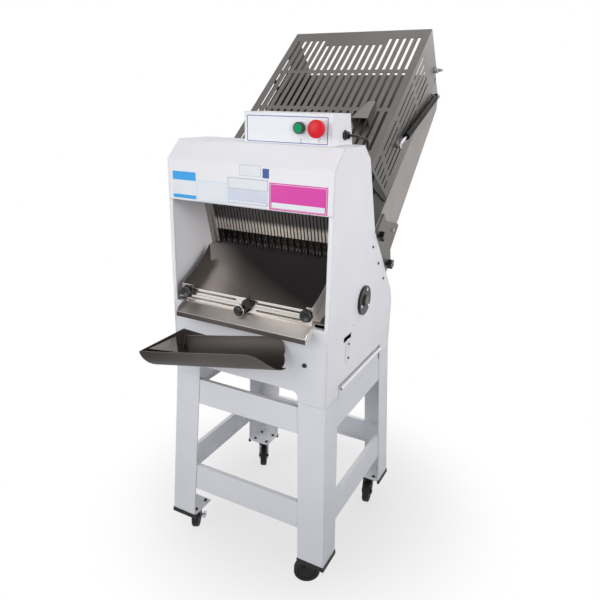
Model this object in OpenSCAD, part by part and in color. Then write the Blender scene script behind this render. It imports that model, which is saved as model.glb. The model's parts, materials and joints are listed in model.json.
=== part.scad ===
// Bread slicer on a caster stand. Millimetres, Z up, floor at Z = 0, front toward -Y.

/* [Stand] */
// Height of the seam between stand and cabinet
stand_h = 616; // [590:1:660]
// Width of each face of a leg angle
leg_face = 85; // [60:1:100]
// Sheet of the leg angles
leg_t = 3; // [2:0.5:5]
// Outward lean of the legs, degrees
splay = 2.58; // [1:0.1:4]
// Distance the leg ends reach below the caster plates
leg_drop = 9; // [6:0.5:12]
// Wall of the rubber edging on the leg ends
trim_t = 2; // [1:0.5:3]
// Depth of the upper rails
upper_rail_h = 81; // [60:1:90]
// Depth of the lower rails
lower_rail_h = 86; // [60:1:100]
// Top of the lower rails above the floor
lower_rail_z = 296; // [260:1:340]
// Gap from the top of the upper rails to the seam
rail_gap = 17; // [12:1:24]
// Width of the rail lips
rail_lip = 14; // [10:1:20]
// Sheet of the rails
rail_t = 2.5; // [1.5:0.5:4]

/* [Casters] */
// Wheel diameter
wheel_d = 80; // [70:1:90]
// Wheel width
wheel_w = 24; // [18:1:30]
// Height of the swivel head above the wheel
caster_head_h = 24; // [21:1:30]
// Offset of the axle behind the swivel pin
caster_trail = 24; // [16:1:32]
// Swivel pin distance from the inner faces of the leg
caster_in = 46; // [40:1:52]
// Swivel pin radius
king_r = 6; // [4:0.5:8]
// Axle radius
axle_r = 5; // [3:0.5:8]
// Bracket plate thickness
bracket_t = 5; // [3:0.5:8]
// Resting turn of the front left caster, degrees
turn_fl = 118; // [0:1:360]
// Resting turn of the front right caster, degrees
turn_fr = 208; // [0:1:360]
// Resting turn of the rear left caster, degrees
turn_rl = 298; // [0:1:360]
// Resting turn of the rear right caster, degrees
turn_rr = 280; // [0:1:360]

/* [Cabinet] */
// Cabinet width
chassis_w = 508; // [500:1:540]
// Cabinet depth
chassis_d = 512; // [505:1:540]
// Sheet of the side panels and the apron
panel_t = 3; // [2:0.5:4]
// Front flange of the side panels
flange_w = 12; // [8:1:14]
// Sill of the discharge opening above the seam
sill_rise = 229; // [219:1:236]
// Height of the discharge opening above its sill
opening_h = 302; // [280:1:320]
// Height of the hood front above the opening
hood_h = 111; // [95:1:123]
// Height of the hood chamfer
chamfer_h = 51; // [42:1:70]
// Depth of the hood chamfer
chamfer_d = 55; // [40:1:70]
// Depth of the hood top measured from the front
top_d = 187; // [180:1:200]
// Rear lower corner of the hood, from the front
shoulder_y = 235; // [225:1:238]
// Drop of the hood behind its flat top
hood_drop = 39; // [24:1:47]
// Sheet of the hood
hood_t = 2; // [1:0.5:3]
// Lip at the lower edge of the hood
hood_lip = 15; // [8:1:25]
// Height of the arch under the apron
arch_h = 32; // [20:1:50]
// Width of the corner posts beside the arch
post_w = 86; // [70:1:110]
// Corner radius of the arch
arch_r = 18; // [8:1:19]
// Length of the feet of the side panels
foot_w = 85; // [70:1:95]
// Sheet of the rear panel
rear_t = 2; // [1:0.5:3]

/* [Crumb tray] */
// Play of the tray between the feet, front to rear
tray_play = 19; // [16:1:60]
// Tray height
tray_h = 48; // [35:1:55]
// Tray sheet
tray_t = 1.5; // [1:0.5:3]
// Reach of the tray lip past the side panel
tray_lip = 12; // [6:1:20]

/* [Infeed] */
// Slope of the infeed, degrees
feed_tilt = 39.4; // [38.5:0.1:40.5]
// Upper rear corner of the cover, from the front
feed_y = 747; // [742:1:755]
// Upper rear corner of the cover above the blade drive axis
feed_rise = 785; // [778:1:793]
// Slope distance from that corner to the cabinet seat
seat_s = 716; // [710:1:722]
// Upper end of the cabinet seat below the cover
knee_t = 178; // [174:1:190]
// Lower end of the cabinet seat below the cover
hip_t = 470; // [440:1:490]
// Depth of the infeed floor below the cover top
floor_t = 157; // [154:1:166]
// Sheet of the infeed floor
floor_sheet = 1.5; // [1:0.5:3]
// Infeed walls inside the outer faces of the cabinet
feed_in = 12; // [11:0.5:19]
// Sheet of the infeed side plates
feed_sheet = 2; // [1:0.5:2.5]
// Height of the side plates above the floor
feed_wall = 62; // [50:1:70]
// Depth of the side plates at the upper end
feed_end_t = 264; // [250:1:280]
// Star knob radius
star_r = 16; // [12:1:20]

/* [Infeed cover] */
// Cover sides inside the outer faces of the cabinet
cover_in = 5.3; // [4.5:0.1:7]
// Cover length along the slope
cover_len = 638; // [600:1:640]
// Sheet of the cover
cover_t = 2; // [1:0.5:2.5]
// Depth of the cover sides at the lower end
cover_low_t = 174; // [140:1:180]
// Depth of the cover sides at the upper end
cover_high_t = 192; // [180:1:196]
// Slot columns in the cover top
slot_cols = 19; // [9:2:21]
// Distance of the outer slot columns from the cover edges
slot_edge = 29.1; // [20:0.1:40]
// Width of the slots in the cover top
slot_w = 10; // [6:0.5:14]
// Width of the slots in the cover sides
side_slot_w = 5; // [2:0.5:8]
// Hinge distance from the upper end
hinge_s = 22; // [16:1:30]
// Hinge depth below the cover top
hinge_t = 140; // [130:1:145]
// Hinge pin radius
hinge_r = 6; // [4:0.5:8]
// Pull centre inside the right face of the cabinet
pull_in = 89; // [64:1:154]

/* [Gas spring] */
// Upper end along the slope
gas_top_s = 74; // [68:1:84]
// Upper end below the cover top
gas_top_t = 208; // [206:1:216]
// Lower end along the slope
gas_low_s = 452; // [440:1:460]
// Lower end below the cover top
gas_low_t = 86; // [84:1:88]
// Distance of the spring outside the right face of the cabinet
gas_out = 8; // [7:0.5:10]
// Tube radius
gas_tube_r = 11; // [8:0.5:11.5]
// Rod radius
gas_rod_r = 5; // [3:0.5:6]
// Tube length
gas_tube_len = 335; // [240:1:345]

/* [Blades] */
// Blade drive axis, from the front
shaft_y = 242; // [238:1:246]
// Blade drive axis above the sill
shaft_rise = 17; // [11:1:23]
// Forward lean of the blades, degrees
blade_tilt = 15; // [14:0.1:16]
// Blade spacing, the slice thickness
blade_pitch = 11.1; // [9:0.1:11.2]
// Blade thickness
blade_t = 0.6; // [0.4:0.1:1]
// Blade width
blade_w = 12; // [9:0.5:13]
// Tooth length of the blades
tooth_pitch = 10; // [6:1:16]
// Tooth depth of the blades
tooth_d = 1.5; // [0.5:0.1:2.5]
// Blade frames inside the outer faces of the cabinet
frame_in = 14; // [12:0.5:19]
// Width of the frame uprights
upright_w = 18; // [12:1:18]
// Depth of the frame bars
frame_bar_h = 18; // [12:1:20]
// Thickness of the frames
frame_t = 8; // [5:0.5:9]
// Spacing of the two frames, centre to centre
frame_gap = 14; // [13:0.5:16]
// Lower frame bar above the shaft at mid stroke
frame_low = 84; // [83:1:88]
// Upper frame bar above the shaft at mid stroke
frame_high = 352; // [330:1:370]
// Throw of the eccentrics
throw = 16; // [10:0.5:16]
// Lower ends of the comb fingers above the shaft
comb_low = 183; // [165:1:200]
// Upper edge of the comb above the shaft
comb_high = 300; // [260:1:310]
// Finger length of the comb
finger_len = 80; // [60:1:90]

/* [Drive] */
// Shaft radius
shaft_r = 12.5; // [8:0.5:12.5]
// Bearing flange radius
flange_r = 44; // [34:1:50]
// Drive pulley radius at the belt
pulley_r = 38; // [28:1:40]
// Motor pulley radius at the belt
motor_pulley_r = 19; // [14:1:24]
// Belt thickness
belt_t = 6; // [4:0.5:8]
// Belt width
belt_w = 11; // [8:0.5:14]
// Pulley place left of the middle
pulley_x = 60; // [50:1:80]
// Motor radius
motor_r = 70; // [50:1:75]
// Motor length
motor_len = 200; // [140:1:230]
// Motor axis in front of the rear face
motor_in = 112; // [92:1:117]

/* [Discharge] */
// Radius of the discharge chute
chute_r = 440; // [434:1:446]
// Slope of the chute at its reference point, degrees
chute_slope = 22; // [21.5:0.1:22.5]
// Height of the reference point above the sill, 30 behind the front
chute_rise = 23; // [21:0.5:25]
// Sheet of the discharge chute
chute_t = 1.5; // [1:0.5:2]
// Ends of the slotted bars inside the faces of the cabinet
bar_in = 49; // [39:1:53]
// Depth of the slotted bars
bar_h = 20; // [16:0.5:20.5]
// Lower edge of the lower bar above the sill
bar_rise = 7; // [5:0.5:9]
// Loaf guide height
guide_h = 40; // [32:1:50]
// Foot width of the loaf guides
guide_foot = 20; // [10:1:22]
// Resting place of the left guide, from the left face
left_guide_in = 29; // [28:1:36]
// Resting place of the right guide, from the right face
right_guide_in = 51; // [44:1:54]
// Inward travel of the loaf guides
guide_travel = 135; // [60:1:138]
// Length of the bar slots past the travel of the guides
slot_past = 24; // [0:1:26]
// Guide knob radius
guide_knob_r = 19; // [12:0.5:20]
// Clamp knob radius
clamp_knob_r = 17; // [10:0.5:17.5]
// Reach of the bagging shelf in front of the cabinet
shelf_reach = 45; // [35:1:60]
// Drop of the shelf front edge below the sill
shelf_drop = 15; // [8:1:20]
// Ends of the bagging shelf inside the faces of the cabinet
shelf_in = 44; // [29:1:64]
// Lip of the bagging shelf
shelf_lip = 14; // [8:1:16]
// Reach of the bag scoop in front of the cabinet
scoop_w = 142; // [120:1:160]
// Rise of the scoop toward the right, degrees
scoop_tilt = 11.5; // [8:0.5:12]
// Scoop rim below the sill at the middle of the machine
scoop_drop = 64; // [61:1:85]
// Reach of the scoop tip past the left face of the cabinet
scoop_past = 26; // [10:1:30]
// Right end of the scoop inside the right face of the cabinet
scoop_short = 86; // [64:1:114]
// Slant of the left end of the scoop, degrees
scoop_slant = 22; // [10:1:26]
// Scoop sheet
scoop_t = 1.5; // [1:0.5:3]

/* [Control box] */
// Right face of the box inside the right face of the cabinet
box_in = 36; // [30:1:60]
// Box width
box_w = 254; // [240:1:258]
// Box height
box_h = 79; // [70:1:90]
// Start button from the right face of the box
start_in = 90; // [78:1:118]
// Stop button from the right face of the box
stop_in = 33; // [30:1:43]
// Button height above the hood
button_z = 43; // [35:1:46]
// Mushroom radius
mushroom_r = 22; // [16:1:24]
// Cable radius
cable_r = 3.5; // [2.5:0.5:4.5]
// Length of the straight run of the cable
cable_run = 56; // [52:1:62]

/* [Fits] */
// Running clearance of pins, shafts and buttons
run_fit = 0.05; // [0.02:0.01:0.1]
// Clearance between faces that slide past each other
face_gap = 0.3; // [0.2:0.05:0.6]

/* [Hidden] */
$fn = 64;
half_w = chassis_w / 2;
inner_w = half_w - panel_t;
sill_z = stand_h + sill_rise;
opening_z = sill_z + opening_h;
fold_z = opening_z + hood_h;
top_z = fold_z + chamfer_h;
shoulder_z = top_z - hood_drop;
shaft_z = sill_z + shaft_rise;
feed_z = shaft_z + feed_rise;
chute_z = sill_z + chute_rise;
scoop_z = sill_z - scoop_drop;
tray_d = chassis_d - 2 * foot_w - tray_play;
motor_y = chassis_d - motor_in;
caster_h = wheel_d + caster_head_h;
leg_bottom = caster_h - leg_drop;
lean = tan(splay);
king_x = half_w - leg_t + (stand_h - caster_h) * lean - caster_in;
king_y = leg_t - (stand_h - caster_h) * lean + caster_in;
crown_z = wheel_d + 4;
head_z = caster_h - 12;
fork_half = wheel_w / 2 + 5.5;
rail_z = stand_h - rail_gap;
tray_z = rail_z + run_fit;
tray_top = tray_z + tray_h;
cut_z = tray_top + 4;
shelf_z = cut_z + 5;
function feed_pt(s, t) = [
    feed_y - s * cos(feed_tilt) + t * sin(feed_tilt),
    feed_z - s * sin(feed_tilt) - t * cos(feed_tilt)
];
knee = feed_pt(seat_s, knee_t);
hip = feed_pt(seat_s, hip_t);
hip_foot = [chassis_d, hip[1] - 50];
seat_dir = (knee - hip) / norm(knee - hip);
feed_half = half_w - feed_in;
plate_x = feed_half + feed_sheet;
cover_half = half_w - cover_in;
slot_pitch = 2 * (cover_half - slot_edge) / (slot_cols - 1);
pull_x = half_w - pull_in;
gas_x = half_w + gas_out;
rear_reach = feed_pt(4, feed_end_t)[0];
front_reach = scoop_w / 2 + sqrt(pow(scoop_w / 2, 2) - 64);
front_y = (front_reach - rear_reach) / 2;
gas_ds = gas_low_s - gas_top_s;
gas_dt = gas_top_t - gas_low_t;
gas_len = norm([gas_ds, gas_dt]);
gas_lean = atan2(gas_ds, gas_dt);
gas_eye_w = 10;
blade_clear = blade_w / 2 + frame_gap / 2 + 2.2;
strap_r = shaft_r + throw + 1;
strap_out = strap_r + 8.5;
frame_half = half_w - frame_in;
blade_half_count = floor((frame_half - upright_w - 5) / blade_pitch);
blade_edge = (blade_half_count + 0.5) * blade_pitch;
front_strap_x = frame_half - 32;
rear_strap_x = front_strap_x - 18;
motor_z = shelf_z + rear_t + motor_r + 6;
belt_span = norm([motor_y - shaft_y, motor_z - shaft_z]);
belt_angle = atan2(motor_z - shaft_z, motor_y - shaft_y);
chute_c = [30 - chute_r * sin(chute_slope), chute_z + chute_r * cos(chute_slope)];
lip_y = 8;
lip_z = chute_c[1] - sqrt(pow(chute_r, 2) - pow(lip_y - chute_t - chute_c[0], 2)) - 0.8;
bar_y = lip_y - chute_t - 2 - 3;
shelf_top = sill_z + 2;
low_bar_z = sill_z + bar_rise;
high_bar_z = low_bar_z + bar_h + 1;
stud_z = high_bar_z + bar_h / 2;
stud_r = 2.8;
bar_half = half_w - bar_in;
shelf_half = half_w - shelf_in;
left_guide_x = half_w - left_guide_in;
right_guide_x = half_w - right_guide_in;
left_stud_x = left_guide_x - 30;
right_stud_x = right_guide_x - 10;
scoop_left = half_w + scoop_past;
scoop_right = half_w - scoop_short;
box_right = half_w - box_in;
box_x = box_right - box_w;
start_x = box_right - start_in;
stop_x = box_right - stop_in;
box_y = chamfer_d + 1;
panel_y = box_y - 1;
press_z = top_z + button_z;
cap_r = 11;
stem_r = 8;
hood_path = [
    [0, opening_z],
    [0, fold_z],
    [chamfer_d, top_z],
    [top_d, top_z],
    [shoulder_y, shoulder_z]
];
hood_slope = atan2(top_z - shoulder_z, shoulder_y - top_d);

// Sheet outlines: a path and its parallel on the right-hand side.
function unit(v) = v / norm(v);
function side_n(a, b) = let (d = unit(b - a)) [d[1], -d[0]];
function miter(a, b) = (a + b) / (1 + a * b);
function corner_n(p, i) =
    i == 0 ? side_n(p[0], p[1])
    : i == len(p) - 1 ? side_n(p[i - 1], p[i])
    : miter(side_n(p[i - 1], p[i]), side_n(p[i], p[i + 1]));
function offset_path(p, t) = [for (i = [0:len(p) - 1]) p[i] + t * corner_n(p, i)];
function reversed(p) = [for (i = [len(p) - 1:-1:0]) p[i]];
module bent(path, t) polygon(concat(path, reversed(offset_path(path, t))));

// Placement helpers. Profiles for along_x are drawn in Y and Z.
module placed() translate([0, front_y, 0]) children();
module along_x(x, w) translate([x, 0, 0]) rotate([90, 0, 90]) linear_extrude(w) children();
module rod_x(x, w, r) translate([x, 0, 0]) rotate([0, 90, 0]) cylinder(r = r, h = w);
module rod_y(y, w, r) translate([0, y + w, 0]) rotate([90, 0, 0]) cylinder(r = r, h = w);
module both_sides() {
    children();
    mirror([1, 0, 0]) children();
}
module to_rear() translate([0, chassis_d, 0]) mirror([0, 1, 0]) children();
module both_ends() {
    children();
    to_rear() children();
}
module in_front_face() translate([0, 0, stand_h]) rotate([-splay, 0, 0]) children();
module in_side_face() translate([half_w, 0, stand_h]) rotate([0, -splay, 0]) children();
module in_feed() translate([0, feed_y, feed_z]) rotate([feed_tilt, 0, 0]) children();
module in_blades() translate([0, shaft_y, shaft_z]) rotate([blade_tilt, 0, 0]) children();
module slab(z0, z1) translate([-900, -900, z0]) cube([1800, 2400, z1 - z0]);
function st(p) = [for (q = p) [-q[0], -q[1]]];

// Stand
module leg_face_outline(edge, grow) {
    k = sin(splay);
    len = (stand_h - leg_bottom) / cos(splay) + 20;
    polygon([
        [edge + grow - 10 * k, 10],
        [edge - leg_face - grow - 10 * k, 10],
        [edge - leg_face - grow + k * len, -len],
        [edge + grow + k * len, -len]
    ]);
}
module leg_angle(grow) {
    in_front_face() translate([0, leg_t + grow, 0]) rotate([90, 0, 0])
        linear_extrude(leg_t + 2 * grow) leg_face_outline(half_w, grow);
    in_side_face() translate([-leg_t - grow, 0, 0]) rotate([90, 0, 90])
        linear_extrude(leg_t + 2 * grow) mirror([1, 0]) leg_face_outline(0, grow);
}
module leg() intersection() {
    leg_angle(0);
    slab(leg_bottom, stand_h);
}
module leg_trim() difference() {
    intersection() {
        leg_angle(trim_t);
        slab(leg_bottom - trim_t, leg_bottom + leg_drop - 3);
    }
    leg();
}
module channel(len, h) translate([-len / 2, 0, -h]) difference() {
    cube([len, rail_lip, h]);
    translate([-1, rail_t, rail_t]) cube([len + 2, rail_lip, h - 2 * rail_t]);
}
module rails(top, h) {
    drop = (stand_h - top) / cos(splay);
    reach = (stand_h - top) * lean;
    both_ends() in_front_face() translate([0, leg_t, -drop])
        channel(2 * (half_w - leg_t + reach - 2), h);
    both_sides() in_side_face() translate([-leg_t, chassis_d / 2, -drop]) rotate([0, 0, 90])
        channel(chassis_d - 2 * (leg_t + rail_lip + 4 - reach), h);
}
module caster_bracket() {
    rise = (stand_h - caster_h) / cos(splay);
    intersection() {
        union() {
            translate([king_x - 38, king_y - 70, caster_h]) cube([108, 108, bracket_t]);
            in_front_face() translate([king_x - 30, leg_t, -rise]) cube([100, bracket_t, 55]);
            in_side_face() translate([-leg_t - bracket_t, king_y - 70, -rise])
                cube([bracket_t, 100, 55]);
        }
        in_front_face() translate([-600, leg_t, -900]) cube([1200, 900, 900]);
        in_side_face() translate([-900 - leg_t, -600, -900]) cube([900, 1200, 900]);
        slab(caster_h, stand_h);
    }
}
module caster_plate() translate([king_x, king_y, 0]) {
    translate([-35, -35, caster_h - 4]) cube([70, 70, 4]);
    translate([0, 0, head_z]) cylinder(r = 22, h = caster_h - 4 - head_z);
    translate([0, 0, crown_z + 1]) cylinder(r = king_r, h = head_z - crown_z);
}
module fork_cheek() linear_extrude(3) polygon([
    [-18, crown_z + 4],
    [24, crown_z + 4],
    [caster_trail + 12, wheel_d / 2],
    [caster_trail + 6, wheel_d / 2 - 11],
    [caster_trail - 6, wheel_d / 2 - 11],
    [caster_trail - 12, wheel_d / 2]
]);
module caster_fork() color("silver") difference() {
    union() {
        translate([0, 0, crown_z]) cylinder(r = 23, h = head_z - face_gap - crown_z);
        translate([-18, -fork_half, crown_z]) cube([42, 2 * fork_half, 4]);
        translate([0, -fork_half + 3, 0]) rotate([90, 0, 0]) fork_cheek();
        translate([0, fork_half, 0]) rotate([90, 0, 0]) fork_cheek();
        translate([caster_trail, 0, wheel_d / 2]) rod_y(-fork_half - 2, 2 * fork_half + 4, axle_r);
    }
    translate([0, 0, crown_z - 1]) cylinder(r = king_r + run_fit, h = head_z - crown_z + 2);
}
module caster_wheel() color([0.08, 0.08, 0.08])
    translate([caster_trail, 0, wheel_d / 2]) rotate([90, 0, 0]) rotate_extrude() polygon([
        [axle_r + run_fit, -wheel_w / 2],
        [14, -wheel_w / 2],
        [16, 3 - wheel_w / 2],
        [wheel_d / 2 - 12, 3 - wheel_w / 2],
        [wheel_d / 2 - 10, -wheel_w / 2],
        [wheel_d / 2 - 4, -wheel_w / 2],
        [wheel_d / 2, 4 - wheel_w / 2],
        [wheel_d / 2, wheel_w / 2 - 4],
        [wheel_d / 2 - 4, wheel_w / 2],
        [wheel_d / 2 - 10, wheel_w / 2],
        [wheel_d / 2 - 12, wheel_w / 2 - 3],
        [16, wheel_w / 2 - 3],
        [14, wheel_w / 2],
        [axle_r + run_fit, wheel_w / 2]
    ]);
module caster_lock() color("silver") translate([caster_trail, -fork_half - 2, wheel_d / 2]) {
    rod_y(-14, 14, axle_r);
    translate([-15, -13, -2]) cube([30, 10, 4]);
}
module at_caster(side, rear, turn)
    translate([side * king_x, rear ? chassis_d - king_y : king_y, 0]) rotate([0, 0, turn]) children();

module front_legs() color("white") both_sides() leg();
module rear_legs() color("white") to_rear() both_sides() leg();
module leg_trims() color([0.1, 0.1, 0.1]) both_ends() both_sides() leg_trim();
module upper_rails() color("white") rails(rail_z, upper_rail_h);
module lower_rails() color("white") rails(lower_rail_z, lower_rail_h);
module caster_brackets() color("white") both_ends() both_sides() caster_bracket();
module caster_plates() color("silver") both_ends() both_sides() caster_plate();

// Cabinet
function side_outline() = concat(
    [[0, stand_h], [0, opening_z]],
    offset_path(hood_path, hood_t),
    [hood_path[4], knee, hip, hip_foot],
    [[chassis_d, stand_h], [chassis_d - foot_w, stand_h]],
    [[chassis_d - foot_w, cut_z], [foot_w, cut_z], [foot_w, stand_h]]
);
module side_panel() difference() {
    union() {
        along_x(inner_w, panel_t) polygon(side_outline());
        translate([half_w - flange_w, 0, sill_z])
            cube([flange_w - panel_t / 2, panel_t, opening_z - sill_z]);
    }
    translate([0, shaft_y, shaft_z]) rod_x(inner_w - 1, panel_t + 2, shaft_r + 8);
}
module side_panel_left() color("white") mirror([1, 0, 0]) side_panel();
module side_panel_right() color("white") difference() {
    side_panel();
    translate([inner_w - 1, 108, sill_z - 73]) cube([panel_t + 2, 55, 16]);
}
module front_hood() color("white") {
    along_x(-half_w, chassis_w) bent(hood_path, hood_t);
    translate([flange_w + 1 - half_w, 0, opening_z])
        cube([chassis_w - 2 * flange_w - 2, hood_lip, hood_t]);
}
module front_apron() color("white") {
    arch = half_w - post_w;
    translate([0, panel_t, 0]) rotate([90, 0, 0]) linear_extrude(panel_t) difference() {
        translate([-inner_w, stand_h]) square([2 * inner_w, sill_z - stand_h]);
        translate([-arch, stand_h - 1]) square([2 * arch, arch_h + 1 - arch_r]);
        translate([arch_r - arch, stand_h - 1]) square([2 * (arch - arch_r), arch_h + 1]);
        for (side = [-1, 1])
            translate([side * (arch - arch_r), stand_h + arch_h - arch_r]) circle(r = arch_r);
    }
    translate([-inner_w, 0, sill_z - panel_t]) cube([2 * inner_w, 15, panel_t]);
}
module rear_panel() color("white") {
    along_x(-inner_w, 2 * inner_w)
        bent([[chassis_d, stand_h], hip_foot, hip, hip + 12 * seat_dir], -rear_t);
    translate([-inner_w, motor_y - 70, shelf_z])
        cube([2 * inner_w, chassis_d - motor_y + 69, rear_t]);
    in_feed() translate([0.5 - plate_x, -seat_s - rear_t, -hip_t])
        cube([2 * plate_x - 1, rear_t, hip_t - floor_t - 15]);
}
module bearing_flange() translate([0, shaft_y, shaft_z]) difference() {
    union() {
        rod_x(half_w, 7, flange_r);
        rod_x(half_w, 11, shaft_r + 5);
    }
    rod_x(half_w - 1, 8, shaft_r + run_fit);
}
module bearing_flanges() color([0.12, 0.12, 0.12]) both_sides() bearing_flange();
module crumb_tray() color("white") {
    y0 = chassis_d / 2 - 6 - tray_d / 2;
    roll = tray_lip * 0.42;
    difference() {
        translate([8 - inner_w, y0, tray_z]) cube([inner_w - 8 + half_w, tray_d, tray_h]);
        translate([8 - inner_w + tray_t, y0 + tray_t, tray_z + tray_t])
            cube([inner_w - 8 + half_w - 2 * tray_t, tray_d - 2 * tray_t, tray_h]);
    }
    translate([half_w - tray_t, y0, tray_top - 10]) cube([tray_lip - roll + tray_t, tray_d, tray_t]);
    translate([half_w + tray_lip - roll, 0, tray_top - 10.4 + roll]) difference() {
        rod_y(y0, tray_d, roll);
        rod_y(y0 - 1, tray_d + 2, roll - tray_t);
    }
}

// Control box
module box_outline(in) polygon([
    [box_y + in, top_z - (in > 0 ? 1 : 0)],
    [box_y + in, top_z + box_h - in],
    [top_d - 22 - in, top_z + box_h - in],
    [top_d - 1 - 1.2 * in, top_z - (in > 0 ? 1 : 0)]
]);
module control_box() color("white") difference() {
    along_x(box_x, box_w) box_outline(0);
    along_x(box_x + 2, box_w - 4) box_outline(2);
    translate([start_x, 0, press_z]) rod_y(box_y - 1, 4, cap_r + 1);
    translate([stop_x, 0, press_z]) rod_y(box_y - 1, 4, stem_r + 1);
}
module control_panel() color([0.95, 0.95, 0.95]) difference() {
    translate([box_x + 6, panel_y, top_z + 2]) cube([box_w - 15, 1, box_h - 8]);
    translate([start_x, 0, press_z]) rod_y(panel_y - 1, 3, cap_r + 1);
    translate([stop_x, 0, press_z]) rod_y(panel_y - 1, 3, stem_r + 1);
}
module button_bezels() color([0.08, 0.08, 0.08]) {
    translate([start_x, 0, press_z]) difference() {
        rod_y(panel_y - 8, 8, cap_r + 4);
        rod_y(panel_y - 9, 10, cap_r + run_fit);
    }
    translate([stop_x, 0, press_z]) difference() {
        rod_y(panel_y - 12, 12, stem_r + 6);
        rod_y(panel_y - 13, 14, stem_r + run_fit);
    }
}
module start_button() color("green") translate([start_x, 0, press_z])
    rod_y(panel_y - 10.5, 25, cap_r);
module stop_button() color("red") translate([stop_x, 0, press_z]) {
    rod_y(panel_y - 20, 34, stem_r);
    rod_y(panel_y - 26, 8, mushroom_r);
    intersection() {
        translate([0, panel_y + 12, 0]) sphere(r = 45);
        rod_y(panel_y - 40, 20, mushroom_r);
    }
}
module cable_gland() color([0.08, 0.08, 0.08]) translate([box_right, box_y + 74, top_z + 26]) {
    rotate([0, 90, 0]) cylinder(r = 13, h = 5, $fn = 6);
    rod_x(4, 9, 10);
}
module control_cable() color([0.08, 0.08, 0.08]) {
    dip = 9.5;
    bend = 18;
    drop = 20;
    turn = 90 + hood_slope - dip;
    start = [box_right + 13, box_y + 74, top_z + 26];
    mid_y = start[1] + (bend + cable_run) * cos(dip) - drop * sin(dip);
    mid_z = start[2] - (bend + cable_run) * sin(dip) - drop * cos(dip);
    end_y = mid_y + drop * sin(dip + turn);
    end_z = mid_z + drop * cos(dip + turn);
    left = (end_y - top_d) * sin(hood_slope) + (end_z - top_z) * cos(hood_slope);
    out = [for (a = [0:15:90]) [
        start + bend * [sin(a), (1 - cos(a)) * cos(dip), (cos(a) - 1) * sin(dip)],
        [-sin(a), cos(a) * cos(dip), -cos(a) * sin(dip)],
        [0, sin(dip), cos(dip)]
    ]];
    down = [for (k = [0:8]) let (b = dip + turn * k / 8) [
        [start[0] + bend, mid_y + drop * sin(b), mid_z + drop * cos(b)],
        [-1, 0, 0],
        [0, sin(b), cos(b)]
    ]];
    stop = [
        [start[0] + bend, end_y - left * sin(hood_slope), end_z - left * cos(hood_slope)],
        [-1, 0, 0],
        down[8][2]
    ];
    rings = concat(out, down, [stop]);
    last = len(rings) - 1;
    polyhedron(
        points = [for (q = rings, t = [0:45:315]) q[0] + cable_r * (cos(t) * q[1] + sin(t) * q[2])],
        faces = concat(
            [[for (k = [0:7]) k], [for (k = [7:-1:0]) last * 8 + k]],
            [for (i = [0:last - 1], k = [0:7])
                [i * 8 + k, i * 8 + 8 + k, i * 8 + 8 + (k + 1) % 8, i * 8 + (k + 1) % 8]]
        )
    );
}

// Blades, drawn in the blade plane with the shaft axis as origin
module blade_frame(side, shift, strap_x) color([0.8, 0.82, 0.85]) in_blades() translate([0, 0, shift]) {
    n0 = side * frame_gap / 2 - frame_t / 2;
    half = frame_half;
    for (v = [frame_low, frame_high])
        translate([-half, n0, v - frame_bar_h / 2]) cube([2 * half, frame_t, frame_bar_h]);
    both_sides() {
        translate([half - upright_w, n0, frame_low]) cube([upright_w, frame_t, frame_high - frame_low]);
        translate([strap_x, n0, strap_r + 3]) cube([8, frame_t, frame_low - strap_r - 3]);
        difference() {
            rod_x(strap_x, 8, strap_out);
            rod_x(strap_x - 1, 10, strap_r);
        }
    }
}
module blade(side, shift) {
    v0 = frame_low + frame_bar_h / 2 + shift;
    v1 = frame_high - frame_bar_h / 2 + shift;
    n0 = side * frame_gap / 2 - blade_w / 2;
    count = floor((v1 - v0) / tooth_pitch);
    step = (v1 - v0) / count;
    teeth = [for (k = [0:2 * count]) [n0 + blade_w - (k % 2 == 0 ? 0 : tooth_d), v0 + k * step / 2]];
    translate([-blade_t / 2, 0, 0]) rotate([90, 0, 90]) linear_extrude(blade_t)
        polygon(concat([[n0, v1], [n0, v0]], teeth));
}
module blade_set(side, shift, first) color([0.75, 0.76, 0.78]) in_blades()
    for (i = [-blade_half_count + first:2:blade_half_count])
        translate([i * blade_pitch, 0, 0]) blade(side, shift);
module blade_frame_front() blade_frame(-1, throw, front_strap_x);
module blade_frame_rear() blade_frame(1, -throw, rear_strap_x);
module front_blades() blade_set(-1, throw, 1);
module rear_blades() blade_set(1, -throw, 0);
module blade_gaps() in_blades() {
    for (i = [-blade_half_count:blade_half_count])
        translate([i * blade_pitch - 1.5, -blade_clear, 90]) cube([3, 2 * blade_clear, 100]);
    both_sides() translate([blade_edge, -blade_clear, 90]) cube([60, 2 * blade_clear, 100]);
}
module upper_comb() color("silver") in_blades() {
    n0 = -blade_clear - 1.8;
    half = blade_edge + blade_pitch / 2 - 2;
    translate([-inner_w, n0, comb_high - 14]) cube([2 * inner_w, 1.5, 14]);
    translate([-half, n0, comb_low + finger_len])
        cube([2 * half, 1.5, comb_high - comb_low - finger_len]);
    for (i = [-blade_half_count - 0.5:1:blade_half_count + 0.5])
        translate([i * blade_pitch - blade_pitch / 2 + 2, n0, comb_low])
            cube([blade_pitch - 4, 1.5, finger_len + 1]);
}
module frame_guide() in_blades() {
    base = frame_half + face_gap;
    deep = frame_gap / 2 + frame_t / 2 + 3.5;
    difference() {
        translate([base - 5, -deep, 110]) cube([inner_w - base + 5, 2 * deep, 220]);
        for (side = [-1, 1])
            translate([base - 6, side * frame_gap / 2 - frame_t / 2 - face_gap, 109])
                cube([6, frame_t + 2 * face_gap, 222]);
    }
}
module frame_guides() color("silver") both_sides() frame_guide();

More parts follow.
